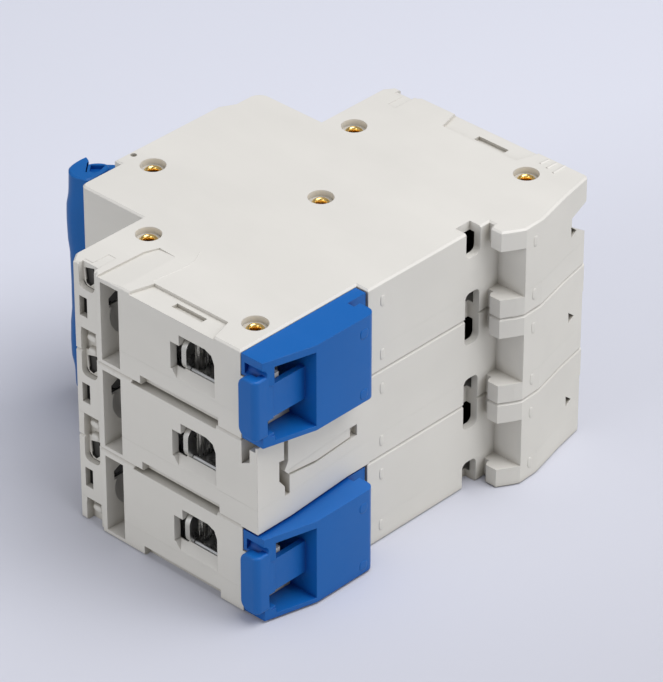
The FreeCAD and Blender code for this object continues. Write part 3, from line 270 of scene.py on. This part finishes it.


# Each plastic's corner colour below is painted shade that its corners are darkened towards
MATERIALS = {
    "housing": moulded("housing_plastic", HOUSING, painted_corner_shade=(0.62, 0.60, 0.56),
                       roughness=0.42, hollows=True),
    "clip_blue": moulded("clip_plastic", CLIP_BLUE, painted_corner_shade=(0.18, 0.26, 0.62),
                         roughness=0.36, gloss=0.3),
    "handle_blue": moulded("handle_plastic", HANDLE_BLUE, painted_corner_shade=(0.35, 0.42, 0.75),
                           roughness=0.34, gloss=0.3),
    "lever_plastic": moulded("lever_plastic", LEVER_GREY, painted_corner_shade=(0.6, 0.6, 0.6),
                             roughness=0.5),
    "rivet_brass": metal("rivet_brass", BRASS, roughness=0.2),
    "steel": metal("plain_steel", STEEL, roughness=0.34, brushing=(1, 6, 1)),
    "plate_steel": metal("splitter_steel", STEEL, roughness=0.4, brushing=(1, 6, 1)),
    "zinc_steel": metal("zinc_plated_steel", ZINC, roughness=0.28, brushing=(6, 1, 1)),
    "tinned": metal("tinned_copper", TIN, roughness=0.3, brushing=(6, 1, 1)),
    "copper": metal("plain_copper", COPPER, roughness=0.32, brushing=(1, 5, 1)),
    "coil_copper": metal("lacquered_copper", LACQUER, roughness=0.3, brushing=(1, 14, 1),
                         brush_scale=700.0),
    "bimetal": metal("bimetal", BIMETAL, roughness=0.38, brushing=(1, 6, 1)),
}


def dress_nodes():
    """Every CAD node takes the material of its slot."""
    for name, node in frame["nodes"].items():
        node.data.materials.clear()
        node.data.materials.append(MATERIALS[SLOTS[name]])


def placed(name, data):
    """A new object in the scene."""
    thing = bpy.data.objects.new(name, data)
    bpy.context.scene.collection.objects.link(thing)
    return thing


def add_piece(name, data, slot, body):
    """A mesh or curve made into a piece that rides on a body."""
    piece = placed(name, data)
    data.materials.clear()
    data.materials.append(MATERIALS[slot])
    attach(piece, body)
    return piece


def as_mesh(work, name):
    """The finished work as a mesh."""
    mesh = bpy.data.meshes.new(name)
    work.to_mesh(mesh)
    work.free()
    return mesh


def finished(work, name):
    """The solids as a mesh, with every face turned outward."""
    bmesh.ops.recalc_face_normals(work, faces=work.faces)
    return as_mesh(work, name)


def smooth_shaded(mesh, angle):
    """Smooth shading over every edge that turns by less than the angle, in degrees."""
    for polygon in mesh.polygons:
        polygon.use_smooth = True
    mesh.set_sharp_from_angle(angle=math.radians(angle))


def add_solids(work, name, slot, body, smooth_below=None):
    """A piece of the solids, flat shaded where no angle is given."""
    mesh = finished(work, name)
    if smooth_below:
        smooth_shaded(mesh, smooth_below)
    return add_piece(name, mesh, slot, body)


def add_walls(work, rings, closed=False):
    """Faces from each ring of points to the next, and from the last to the first if closed."""
    made = [[work.verts.new(point) for point in ring] for ring in rings]
    following = made[1:] + made[:1] if closed else made[1:]
    count = len(rings[0])
    for lower, upper in zip(made, following):
        for index in range(count):
            after = (index + 1) % count
            work.faces.new((lower[index], lower[after], upper[after], upper[index]))
    return made


def add_loft(work, rings):
    """A solid through rings of points, with its two ends filled."""
    made = add_walls(work, rings)
    work.faces.new(list(reversed(made[0])))
    work.faces.new(made[-1])


def add_prism(work, axis, low, high, outline):
    """A straight solid along an axis, its outline given in the other two coordinates."""
    order = {"x": (2, 0, 1), "y": (0, 2, 1), "z": (0, 1, 2)}[axis]
    rings = []
    for level in (low, high):
        ring = []
        for across, up in outline:
            ring.append(Vector([(across, up, level)[place] for place in order]) * MM)
        rings.append(ring)
    add_loft(work, rings)


def at_height(outline, height, side=1):
    """An outline whose second coordinate is z, at a pole's height and mirrored to a side."""
    return [(side * across, height + z) for across, z in outline]


def round_outline(across, up, radius, sides=24):
    """The corners of a many-sided circle about a centre."""
    turns = [2 * math.pi * step / sides for step in range(sides)]
    return [(across + radius * math.cos(turn), up + radius * math.sin(turn)) for turn in turns]


# The steps of a smooth curve from one given point to the next
CURVE_STEPS = 5


def smooth_loop(points):
    """A closed smooth curve through the points. A point with a third value is a corner."""
    count = len(points)
    loop = []
    for index in range(count):
        before, start, end, after = [points[(index + shift) % count] for shift in (-1, 0, 1, 2)]
        if len(start) > 2:
            before = start
        if len(end) > 2:
            after = end
        near = (before, start, end, after)
        for step in range(CURVE_STEPS):
            t = step / CURVE_STEPS
            weights = (
                (-t + 2 * t * t - t ** 3) / 2,
                (2 - 5 * t * t + 3 * t ** 3) / 2,
                (t + 4 * t * t - 3 * t ** 3) / 2,
                (t ** 3 - t * t) / 2,
            )
            spot = [sum(w * point[axis] for w, point in zip(weights, near)) for axis in (0, 1)]
            loop.append(spot)
    return loop


# Oval pads: the outline's power, below 1 for squarer corners, and the rings from foot to top
# as shares of the pad's width and of its height
PAD_POWER = 0.75
PAD_SIDES = 20
PAD_RINGS = ((1.0, -0.03), (0.97, 0.45), (0.86, 0.85), (0.62, 1.0))


def add_pad(work, centre, long_way, short_way, half_long, half_short, height):
    """A low oval pad with a rounded rim, standing on its centre."""
    out = long_way.cross(short_way).normalized()
    rings = []
    for share, rise in PAD_RINGS:
        ring = []
        for across, up in round_outline(0, 0, 1, PAD_SIDES):
            along = long_way * math.copysign(abs(across) ** PAD_POWER, across) * half_long
            aside = short_way * math.copysign(abs(up) ** PAD_POWER, up) * half_short
            ring.append((centre + (along + aside) * share + out * height * rise) * MM)
        rings.append(ring)
    add_loft(work, rings)


def cut_away(piece, cutter):
    """Takes the cutter's mesh out of the piece for good, unless nothing would be left."""
    tool = placed("cutter", cutter)
    change = piece.modifiers.new("cut", "BOOLEAN")
    change.operation = "DIFFERENCE"
    change.solver = "EXACT"
    change.object = tool
    graph = bpy.context.evaluated_depsgraph_get()
    done = bpy.data.meshes.new_from_object(piece.evaluated_get(graph))
    piece.modifiers.remove(change)
    if done.polygons:
        piece.data = done
    bpy.data.objects.remove(tool)


# The smoothing angle of cut mouldings, in degrees, and the gap in metres that merges vertices
MOULDING_SMOOTH = 25
SAME_SPOT = 1e-7


def refined_copy(node, name, *cutters):
    """A piece that stands for a CAD node: the same mesh with the cutters' shapes taken out."""
    work = bmesh.new()
    work.from_mesh(frame["nodes"][node].data)
    bmesh.ops.remove_doubles(work, verts=work.verts, dist=SAME_SPOT)
    piece = add_piece(name, as_mesh(work, name), SLOTS[node], BODIES[node])
    for cutter in cutters:
        cut_away(piece, cutter)
    for attribute in ("custom_normal", "sharp_edge", "sharp_face"):
        if attribute in piece.data.attributes:
            piece.data.attributes.remove(piece.data.attributes[attribute])
    smooth_shaded(piece.data, MOULDING_SMOOTH)
    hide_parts(node)


# The handle's own directions are out from its pivot and across, turned to its rest
HANDLE_PIVOT = Vector((0, -53, 0))
HANDLE_TURN = Matrix.Rotation(math.radians(-50), 4, "Z")

# The bar's section at its two ends, and its fuller section between the outer levers
WING = [
    (21.0, -3.85, 1), (21.75, -3.0), (22.75, -1.6), (23.35, -0.4), (23.5, 0.5), (23.3, 1.7),
    (22.75, 2.7), (21.7, 3.5), (20.2, 4.25, 1), (19.2, 3.5), (17.9, 1.8), (16.75, 0.1),
    (16.62, -0.9), (17.1, -1.5), (18.3, -1.75), (19.6, -1.6), (20.35, -1.25, 1), (20.45, -2.6),
]
GRIP = [
    (20.95, -6.2, 1), (21.0, -4.6), (22.35, -2.4), (23.3, -0.5), (23.5, 0.5), (23.4, 1.7),
    (22.85, 2.7), (21.8, 3.6), (20.3, 4.3, 1), (19.2, 4.3), (17.9, 4.2), (16.75, 4.1, 1),
    (16.7, 1.0), (16.7, -2.0), (16.7, -4.6), (16.75, -6.2, 1), (18.2, -6.3), (19.6, -6.3),
]

# Half the bar, from one end to near the middle: section, height and how far it is drawn in
HALF_BAR = [(WING, 23.0, 0.3), (WING, 22.7, 0.0), (WING, 19.4, 0.0)]
HALF_BAR += [(GRIP, height, 0.0)
             for height in (18.2, 17.2, 16.2, 14.6, 13.0, 11.0, 9.0, 7.5, 6.0, 3.0)]

# The point that the bar's end sections draw in to
BAR_MIDDLE = Vector((20.3, 0.6))

# How far the bar's outer face swells, by the distance above or below the middle pole. Out from
# the pivot it starts at one distance, and over a run it grows to the full
SWELL = [(0.0, 0.4), (6.0, 0.45), (9.0, 0.75), (13.0, 0.85), (16.0, 0.8), (18.2, 0.4),
         (23.0, 0.25)]
SWELL_START = 20.4
SWELL_RUN = 2

# The hollow and the slit in each end of the bar: the outline, and the heights of the cut
BAR_CUTS = [
    ([(17.3, -0.95), (19.9, -0.85), (19.9, 1.3), (18.9, 1.75), (18.1, 1.1)], (21.2, 24.0)),
    ([(20.38, -1.8), (20.62, -1.8), (20.62, 1.6), (20.38, 1.6)], (21.6, 24.0)),
]

# What is cut from both faces of a toggle's lever, out from its drum to the bar
LEVER_CUT = [(7.6, -4), (20.4, -4), (20.4, 4), (7.6, 4)]
LEVER_CUT_LEVELS = (4.2, 8.0)


def at_handle(out, across, z):
    """A point of the handle at rest, given in its own directions."""
    return (HANDLE_TURN @ Vector((out, across, z)) + HANDLE_PIVOT) * MM


def handle_points(outline, z):
    """The points of an outline that is given in the handle's own directions, at height z."""
    return [at_handle(out, across, z) for out, across in outline]


def swell(height):
    """The bar's full swelling at a distance from the middle pole."""
    for (low, first), (high, last) in zip(SWELL, SWELL[1:]):
        if height <= high:
            return first + (last - first) * (height - low) / (high - low)


def bar_section(outline, z, inset):
    """The smooth outline at height z, drawn in by the inset and swollen on its outer side."""
    section = []
    for spot in map(Vector, smooth_loop(outline)):
        spot = spot + (BAR_MIDDLE - spot).normalized() * inset
        spot.x += swell(abs(z)) * min(1.0, max(0.0, (spot.x - SWELL_START) / SWELL_RUN))
        section.append(at_handle(spot.x, spot.y, z))
    return section


def make_handle_bar():
    """The crescent bar: full between the outer levers, slimmer and hollow at its two ends."""
    levels = [(outline, -height, inset) for outline, height, inset in HALF_BAR]
    levels += [(GRIP, 0.0, 0.0)] + list(reversed(HALF_BAR))
    work = bmesh.new()
    add_loft(work, [bar_section(*level) for level in levels])
    bar = add_solids(work, "handle_bar", "handle_blue", "handle")
    cutter = bmesh.new()
    for side in BOTH_SIDES:
        for outline, heights in BAR_CUTS:
            add_loft(cutter, [handle_points(outline, side * height) for height in heights])
    cut_away(bar, finished(cutter, "bar_cutter"))
    smooth_shaded(bar.data, angle=32)
    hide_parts("handle_tie_bar")


def make_toggles():
    """The levers narrow where they leave their drums and enter the bar."""
    for pole, height in POLE_HEIGHTS.items():
        cutter = bmesh.new()
        for side in BOTH_SIDES:
            levels = [height + side * level for level in LEVER_CUT_LEVELS]
            add_loft(cutter, [handle_points(LEVER_CUT, level) for level in levels])
        refined_copy("toggle_%d" % pole, "toggle_lever_%d" % pole,
                     finished(cutter, "toggle_cutter"))


# The gap beside each screw tunnel and the small pocket in each pole's back: the outline in x
# and z, and where it runs in y
TUNNEL_GAP = [(39.35, 3.6), (36.6, 4.9), (36.6, 1.7), (39.3, 1.7)]
TUNNEL_GAP_RUN = (-39.5, -36.2)
POCKET = [(-35.6, 1.3), (-37.5, -0.3), (-35.7, -0.9)]
POCKET_RUN = (1.6, 5.0)

# The top pole's notch at the far corner, as y and the outline in x and z at its two ends
CORNER_NOTCH = [
    (6, [(-38.85, 26.2), (-33.0, 23.2), (-33.0, 21.5), (-38.8, 17.7)]),
    (-3, [(-49.65, 17.6), (-43.6, 14.7), (-43.7, 12.9), (-49.6, 9.0)]),
]

# The low terrace on the top face, as x and y: its depth shrinks towards the rail side
TERRACE = [(42.0, -36.9), (30.4, -36.4), (27.8, -35.4), (28.0, -31.2), (42.0, -31.2)]
TERRACE_FRONT = -36.9
TERRACE_LEVEL = 26.6
TERRACE_SLOPE = 0.07

# The small round hole in the top face
PIN_HOLE = (9.0, -60.9)
PIN_HOLE_RADIUS = 0.6
PIN_HOLE_FLOOR = 26.2

# Cuts into the top face start at this level, in the clear above it
CLEAR_ABOVE = TOP_FACE + 0.5


def cut_top_pole(cutter):
    """The notch at the far corner, the low terrace and the small round hole."""
    add_loft(cutter, [[Vector((x, y, z)) * MM for x, z in end] for y, end in CORNER_NOTCH])
    floor = []
    for x, y in TERRACE:
        level = TERRACE_LEVEL + TERRACE_SLOPE * (y - TERRACE_FRONT)
        floor.append(Vector((x, y, level)) * MM)
    add_loft(cutter, [floor, [Vector((x, y, CLEAR_ABOVE)) * MM for x, y in TERRACE]])
    add_prism(cutter, "z", PIN_HOLE_FLOOR, CLEAR_ABOVE, round_outline(*PIN_HOLE, PIN_HOLE_RADIUS))


def make_cases():
    """Finer cuts in the mouldings than the solids have."""
    for pole, height in POLE_HEIGHTS.items():
        cutter = bmesh.new()
        for side in BOTH_SIDES:
            add_prism(cutter, "y", *TUNNEL_GAP_RUN, at_height(TUNNEL_GAP, height, side))
        add_prism(cutter, "y", *POCKET_RUN, at_height(POCKET, height))
        if pole == TOP_POLE:
            cut_top_pole(cutter)
        refined_copy("case_base_%d" % pole, "housing_base_%d" % pole,
                     finished(cutter, "case_cutter"))


# The two cuts that run a clip's window out to its nose: two levels, and the outline in x and y
CLIP_CUTS = [
    (-6.6, 3.6, [(38.7, 2.6), (40.95, 2.6), (40.95, 5.4), (38.7, 5.4)]),
    (-6.1, -3.2, [(38.7, -0.5), (40.3, -0.5), (40.3, 3.0), (38.7, 3.0)]),
]


def make_clips():
    """The clips, cut one shape after the other because the two shapes overlap."""
    for pole in CLIP_POLES:
        height = POLE_HEIGHTS[pole]
        cutters = []
        for low, high, outline in CLIP_CUTS:
            cutter = bmesh.new()
            add_prism(cutter, "z", height + low, height + high, outline)
            cutters.append(finished(cutter, "clip_cutter"))
        refined_copy("din_clip_%d" % pole, "rail_clip_%d" % pole, *cutters)


# A block in the slots between the poles and the angled hole in it: the outline in y and z, and
# the distances from the middle between which it runs
BLOCK = [(-42.15, 5.3), (-41.2, 4.2), (-39.2, 4.2), (-38.25, 5.3), (-38.25, 8.94),
         (-42.15, 8.94)]
BLOCK_REACH = (35.2, 39.6)
HOLE = [(-41.7, 7.75), (-39.35, 8.4), (-39.5, 5.3), (-40.4, 4.45), (-41.4, 4.75)]
HOLE_REACH = (36.5, 40.5)


def make_slot_blocks():
    """Blocks behind the notches at the joints, each with a dark hole beside the wall."""
    blocks = bmesh.new()
    holes = bmesh.new()
    for height in POLE_HEIGHTS.values():
        for side in BOTH_SIDES:
            for work, outline, reach in ((blocks, BLOCK, BLOCK_REACH), (holes, HOLE, HOLE_REACH)):
                ends = sorted(side * distance for distance in reach)
                add_prism(work, "x", *ends, at_height(outline, height))
    piece = add_solids(blocks, "slot_blocks", "housing", "housing")
    cut_away(piece, finished(holes, "hole_cutter"))
    smooth_shaded(piece.data, MOULDING_SMOOTH)


# The bumps in a slot: height from the pole's middle, half length and half width. The second
# one crosses the joint to the pole below
BUMPS = [(-6.2, 1.3, 0.75), (-8.9, 1.1, 0.7)]
BUMP_PLACE = (39.05, -40.3)
BUMP_RISE = 0.9


def make_slot_bumps():
    """Rounded bumps on the back wall of each slot between two poles."""
    work = bmesh.new()
    x, y = BUMP_PLACE
    for pole, height in POLE_HEIGHTS.items():
        bumps = BUMPS if pole > 1 else BUMPS[:1]
        for side in BOTH_SIDES:
            long_way = Vector((0, side, 0))
            for z, half_long, half_short in bumps:
                spot = Vector((side * x, y, height + z))
                add_pad(work, spot, long_way, Z_AXIS, half_long, half_short, BUMP_RISE)
    add_solids(work, "slot_bumps", "housing", "housing", smooth_below=50)


# The rivets' places, and half a rivet's outline from its bore over the rolled head to the
# shank, as radius and height
RIVETS = [(9.1, -55.9), (25.9, -40.0), (33.5, -6.8), (-3.5, -26.8), (-25.4, -39.4), (-34.2, -5.9)]
RIVET_HALF = [(0.85, 25.3), (0.92, 25.8), (1.12, 26.12), (1.38, 26.14), (1.6, 25.95),
              (1.66, 25.73), (1.4, 25.7)]
RIVET_SIDES = 32


def make_rivets():
    """The hollow rivets with their rolled heads."""
    work = bmesh.new()
    outline = RIVET_HALF + [(radius, -rise) for radius, rise in reversed(RIVET_HALF)]
    for x, y in RIVETS:
        rings = []
        for radius, rise in outline:
            circle = round_outline(x, y, radius, RIVET_SIDES)
            rings.append([Vector((*spot, rise)) * MM for spot in circle])
        add_walls(work, rings, closed=True)
    piece = add_solids(work, "hollow_rivets", "rivet_brass", "housing", smooth_below=60)
    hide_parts("rivets")


# A disc at a screw tunnel: its outline as radius and y, how far out its centre is, and how far
# below the pole's middle. A flat cuts off its top, a little higher on a wider ring
DISC_RINGS = [(2.1, -36.95), (5.5, -36.95), (5.55, -36.6), (5.25, -36.4), (2.4, -36.4),
              (2.1, -36.6)]
DISC_SIDES = 40
DISC_X = 34.5
DISC_DROP = 0.1
DISC_FLAT = 1.65
DISC_FLAT_SLOPE = 0.1


def make_screw_discs():
    """The discs that guide the driver, flat at the top, with a hole for the blade."""
    work = bmesh.new()
    for height in POLE_HEIGHTS.values():
        for side in BOTH_SIDES:
            rings = []
            for radius, y in DISC_RINGS:
                highest = DISC_FLAT + DISC_FLAT_SLOPE * radius
                ring = []
                for across, up in round_outline(0, 0, radius, DISC_SIDES):
                    z = height - DISC_DROP + min(up, highest)
                    ring.append(Vector((side * (DISC_X + across), y, z)) * MM)
                rings.append(ring)
            add_walls(work, rings, closed=True)
    add_solids(work, "screw_discs", "steel", "housing", smooth_below=40)


# A strap's saw tooth in x from its start and y, and the lip below a wire opening in x and z,
# with where it runs in y
TOOTH = [(0, -16.5), (0.5, -16.5), (0.5, -15.99), (0.3, -15.99), (0, -16.25)]
TOOTH_COUNT = 9
TOOTH_START = 31.9
TOOTH_PITCH = 0.76
TOOTH_HALF_WIDTH = 3.0
LIP = [(39.1, -2.0), (39.72, -2.0), (39.72, -1.55), (39.5, -1.3), (39.1, -1.4)]
LIP_RUN = (-16.0, -9.0)


def make_strap_ribs():
    """Fine teeth across the straps' clamping faces, and the lip below each wire opening."""
    ribs = bmesh.new()
    lips = bmesh.new()
    for height in POLE_HEIGHTS.values():
        low, high = height - TOOTH_HALF_WIDTH, height + TOOTH_HALF_WIDTH
        for side in BOTH_SIDES:
            for index in range(TOOTH_COUNT):
                start = TOOTH_START + TOOTH_PITCH * index
                add_prism(ribs, "z", low, high, [(side * (start + x), y) for x, y in TOOTH])
            add_prism(lips, "y", *LIP_RUN, at_height(LIP, height, side))
    add_solids(ribs, "strap_ribs", "tinned", "housing")
    add_solids(lips, "entry_lips", "zinc_steel", "housing")


# The strip in the middle pole's channel, section by section: x, its lower edge in z and its
# outer side in y
STRIP_RUNS = [(17.2, -1.35, -0.25), (26.0, -1.35, 0.35), (33.45, -0.3, 0.72)]


def make_seat_strip():
    """The strip that closes most of the middle pole's channel."""
    rings = []
    for x, low, outer in STRIP_RUNS:
        section = [(-1.15, low), (outer, low + 0.12), (outer, 0.75), (-1.15, 0.85)]
        rings.append([Vector((x, y, z)) * MM for y, z in section])
    work = bmesh.new()
    add_loft(work, rings)
    add_solids(work, "seat_strip", "housing", "housing")


# Ejector marks: x and y on the back and on the hook, and heights from the pole's middle
MARK_PLACES = [(9.4, 0.0), (-23.0, 6.29)]
MARK_HEIGHTS = (-5.6, 5.3)
CLIP_MARK_PLACE = (19.3, 5.0)
CLIP_MARK_HEIGHTS = (5.4, -6.8)


def add_marks(name, spots, half_long, half_short, rise, slot, body):
    """One piece of pads that are all alike, on faces that look to +Y, their long way up."""
    work = bmesh.new()
    for spot in spots:
        add_pad(work, Vector(spot), Z_AXIS, X_AXIS, half_long, half_short, rise)
    add_solids(work, name, slot, body, smooth_below=40)


def make_marks():
    """The ejector marks stand a hair proud of the mouldings."""
    spots = [(*place, height + z) for height in POLE_HEIGHTS.values()
             for place in MARK_PLACES for z in MARK_HEIGHTS]
    add_marks("ejector_marks", spots, half_long=1.15, half_short=0.55, rise=0.12,
              slot="housing", body="housing")
    for pole in CLIP_POLES:
        spots = [(*CLIP_MARK_PLACE, POLE_HEIGHTS[pole] + z) for z in CLIP_MARK_HEIGHTS]
        add_marks("clip_marks_%d" % pole, spots, half_long=1.0, half_short=1.0, rise=0.08,
                  slot="clip_blue", body="din_clip_%d" % pole)


# Raised lines on the top face: each one's radius, and its runs of points in x and y
LINES = {
    "scribed_lines": (0.12, [
        [(36.1, -28.6), (32.4, -28.2), (28.8, -27.8), (26.5, -28.0), (23.8, -29.4)],
    ]),
    "grip_strokes": (0.36, [
        [(-38.5, -6.4), (-40.6, -6.1)],
        [(-38.1, -4.5), (-40.7, -4.4)],
        [(-37.6, -2.6), (-40.9, -2.7)],
    ]),
}
LINE_SINK = 0.55


def make_lines():
    """Fine beads, each sunk in the face by a little over half its radius."""
    for name, (radius, runs) in LINES.items():
        curve = bpy.data.curves.new(name, "CURVE")
        curve.dimensions = "3D"
        curve.bevel_depth = radius * MM
        curve.bevel_resolution = 2
        curve.use_fill_caps = True
        level = (TOP_FACE - radius * LINE_SINK) * MM
        for run in runs:
            spline = curve.splines.new("POLY")
            spline.points.add(len(run) - 1)
            for point, (x, y) in zip(spline.points, run):
                point.co = (x * MM, y * MM, level, 1)
        add_piece(name, curve, "housing", "housing")


# From here on lengths are in metres
OBJECT_MIDDLE = (0, -0.03, 0)
COOL_WHITE = (0.95, 0.97, 1.0)
WORLD_COLOUR = (0.86, 0.86, 0.88, 1)
WORLD_STRENGTH = 0.45


def add_lamp(name, place, target, size, power, colour=(1, 1, 1)):
    """A round soft lamp that faces its target."""
    data = bpy.data.lights.new(name, "AREA")
    data.shape = "DISK"
    data.size = size
    data.energy = power
    data.color = colour
    lamp = placed(name, data)
    lamp.location = place
    lamp.rotation_euler = (Vector(target) - Vector(place)).to_track_quat("-Z", "Y").to_euler()


def make_light():
    """Three soft lamps and an even pale world."""
    add_lamp("overhead", place=(-0.15, 0.25, 0.75), target=OBJECT_MIDDLE, size=0.7, power=5.25)
    add_lamp("back_fill", place=(-0.35, 0.8, 0.35), target=(0, 0, 0), size=0.6, power=1.75,
             colour=COOL_WHITE)
    add_lamp("side_fill", place=(0.9, -0.15, 0.3), target=OBJECT_MIDDLE, size=0.6, power=2.4,
             colour=COOL_WHITE)
    world = bpy.data.worlds.new("studio")
    world.use_nodes = True
    bpy.context.scene.world = world
    background = world.node_tree.nodes["Background"]
    background.inputs["Color"].default_value = WORLD_COLOUR
    background.inputs["Strength"].default_value = WORLD_STRENGTH


# The floor's section, from the camera's side back and up into the backdrop, as run and rise,
# its half width, and its two directions
FLOOR_SECTION = [(2.0, 0.0), (-0.9, 0.0), (-1.2, 0.05), (-1.45, 0.2), (-1.6, 0.5), (-1.65, 1.6)]
FLOOR_HALF_WIDTH = 2.5
TO_CAMERA = Vector((0.7254, 0.6883, 0))
TO_RIGHT = Vector((-0.6883, 0.7254, 0))

# Painted shading: the backdrop's colour goes from lighter to darker along this slope, per metre,
# darker towards the camera and the right
BACKDROP_SLOPE = TO_CAMERA * 4 + TO_RIGHT * 2
BACKDROP_LIGHTER = scaled(BACKDROP, 1.06)
BACKDROP_DARKER = tuple(channel * part for channel, part in zip(BACKDROP, (0.75, 0.74, 0.73)))


def backdrop_material():
    """What the camera sees is a lavender grey with painted shading and faint blotches, and what
    lights the object is neutral.
    """
    material, tree, shader = new_material("backdrop")
    place = tree.nodes.new("ShaderNodeTexCoord")
    along = tree.nodes.new("ShaderNodeVectorMath")
    along.operation = "DOT_PRODUCT"
    along.inputs[1].default_value = BACKDROP_SLOPE
    tree.links.new(place.outputs["Object"], along.inputs[0])
    from_middle = calculated(tree, "ADD", along.outputs["Value"], 0.5)
    # Painted shade: darker towards the camera and the right, lighter far off
    slope = ramp(tree, from_middle, BACKDROP_LIGHTER, BACKDROP_DARKER, low_at=0.0, high_at=1.0)
    spots = ramp(tree, noise(tree, scale=3.0, detail=2.0), grey(0.985), grey(1.0))
    tint_and_painted_shade = mixed(tree, 1.0, slope, spots, blend="MULTIPLY")
    seen = tree.nodes.new("ShaderNodeLightPath")
    shown = mixed(tree, seen.outputs["Is Camera Ray"], grey(0.5), tint_and_painted_shade)
    tree.links.new(shown, shader.inputs["Base Color"])
    shader.inputs["Roughness"].default_value = 0.75
    shader.inputs["Specular IOR Level"].default_value = 0.2
    return material


def make_floor():
    """A pale floor that runs up into a backdrop."""
    level = CAD_BOX[0][2]
    points = []
    for run, rise in FLOOR_SECTION:
        for side in BOTH_SIDES:
            spot = TO_CAMERA * run + TO_RIGHT * (side * FLOOR_HALF_WIDTH)
            points.append(spot + Vector((0, 0, level + rise)))
    starts = range(0, len(points) - 2, 2)
    faces = [(start, start + 1, start + 3, start + 2) for start in starts]
    mesh = bpy.data.meshes.new("floor")
    mesh.from_pydata(points, [], faces)
    for polygon in mesh.polygons:
        polygon.use_smooth = True
    floor = placed("floor", mesh)
    mesh.materials.append(backdrop_material())


# The photograph's camera: its place, the direction that it looks from, in degrees, and the
# height of its sensor and its focal length in millimetres
CAMERA_PLACE = (0.489735, 0.443201, 0.44259)
CAMERA_AZIMUTH = 133.462
CAMERA_ELEVATION = 33.195
SENSOR_HEIGHT = 36
FOCAL_LENGTH = 240.2


def make_camera():
    """The photograph's long lens, from above the corner with the clips."""
    data = bpy.data.cameras.new("camera")
    data.sensor_fit = "VERTICAL"
    data.sensor_height = SENSOR_HEIGHT
    data.lens = FOCAL_LENGTH
    data.clip_start = 0.05
    data.clip_end = 10
    camera = placed("camera", data)
    camera.location = CAMERA_PLACE
    azimuth = math.radians(CAMERA_AZIMUTH)
    elevation = math.radians(CAMERA_ELEVATION)
    level = math.cos(elevation)
    back = Vector((math.sin(azimuth) * level, -math.cos(azimuth) * level, math.sin(elevation)))
    camera.rotation_euler = (-back).to_track_quat("-Z", "Y").to_euler()
    bpy.context.scene.camera = camera


dress_nodes()
make_handle_bar()
make_toggles()
make_cases()
make_clips()
make_slot_blocks()
make_slot_bumps()
make_rivets()
make_screw_discs()
make_strap_ribs()
make_seat_strip()
make_marks()
make_lines()
make_light()
make_floor()
make_camera()
bpy.context.scene.view_settings.view_transform = "Standard"
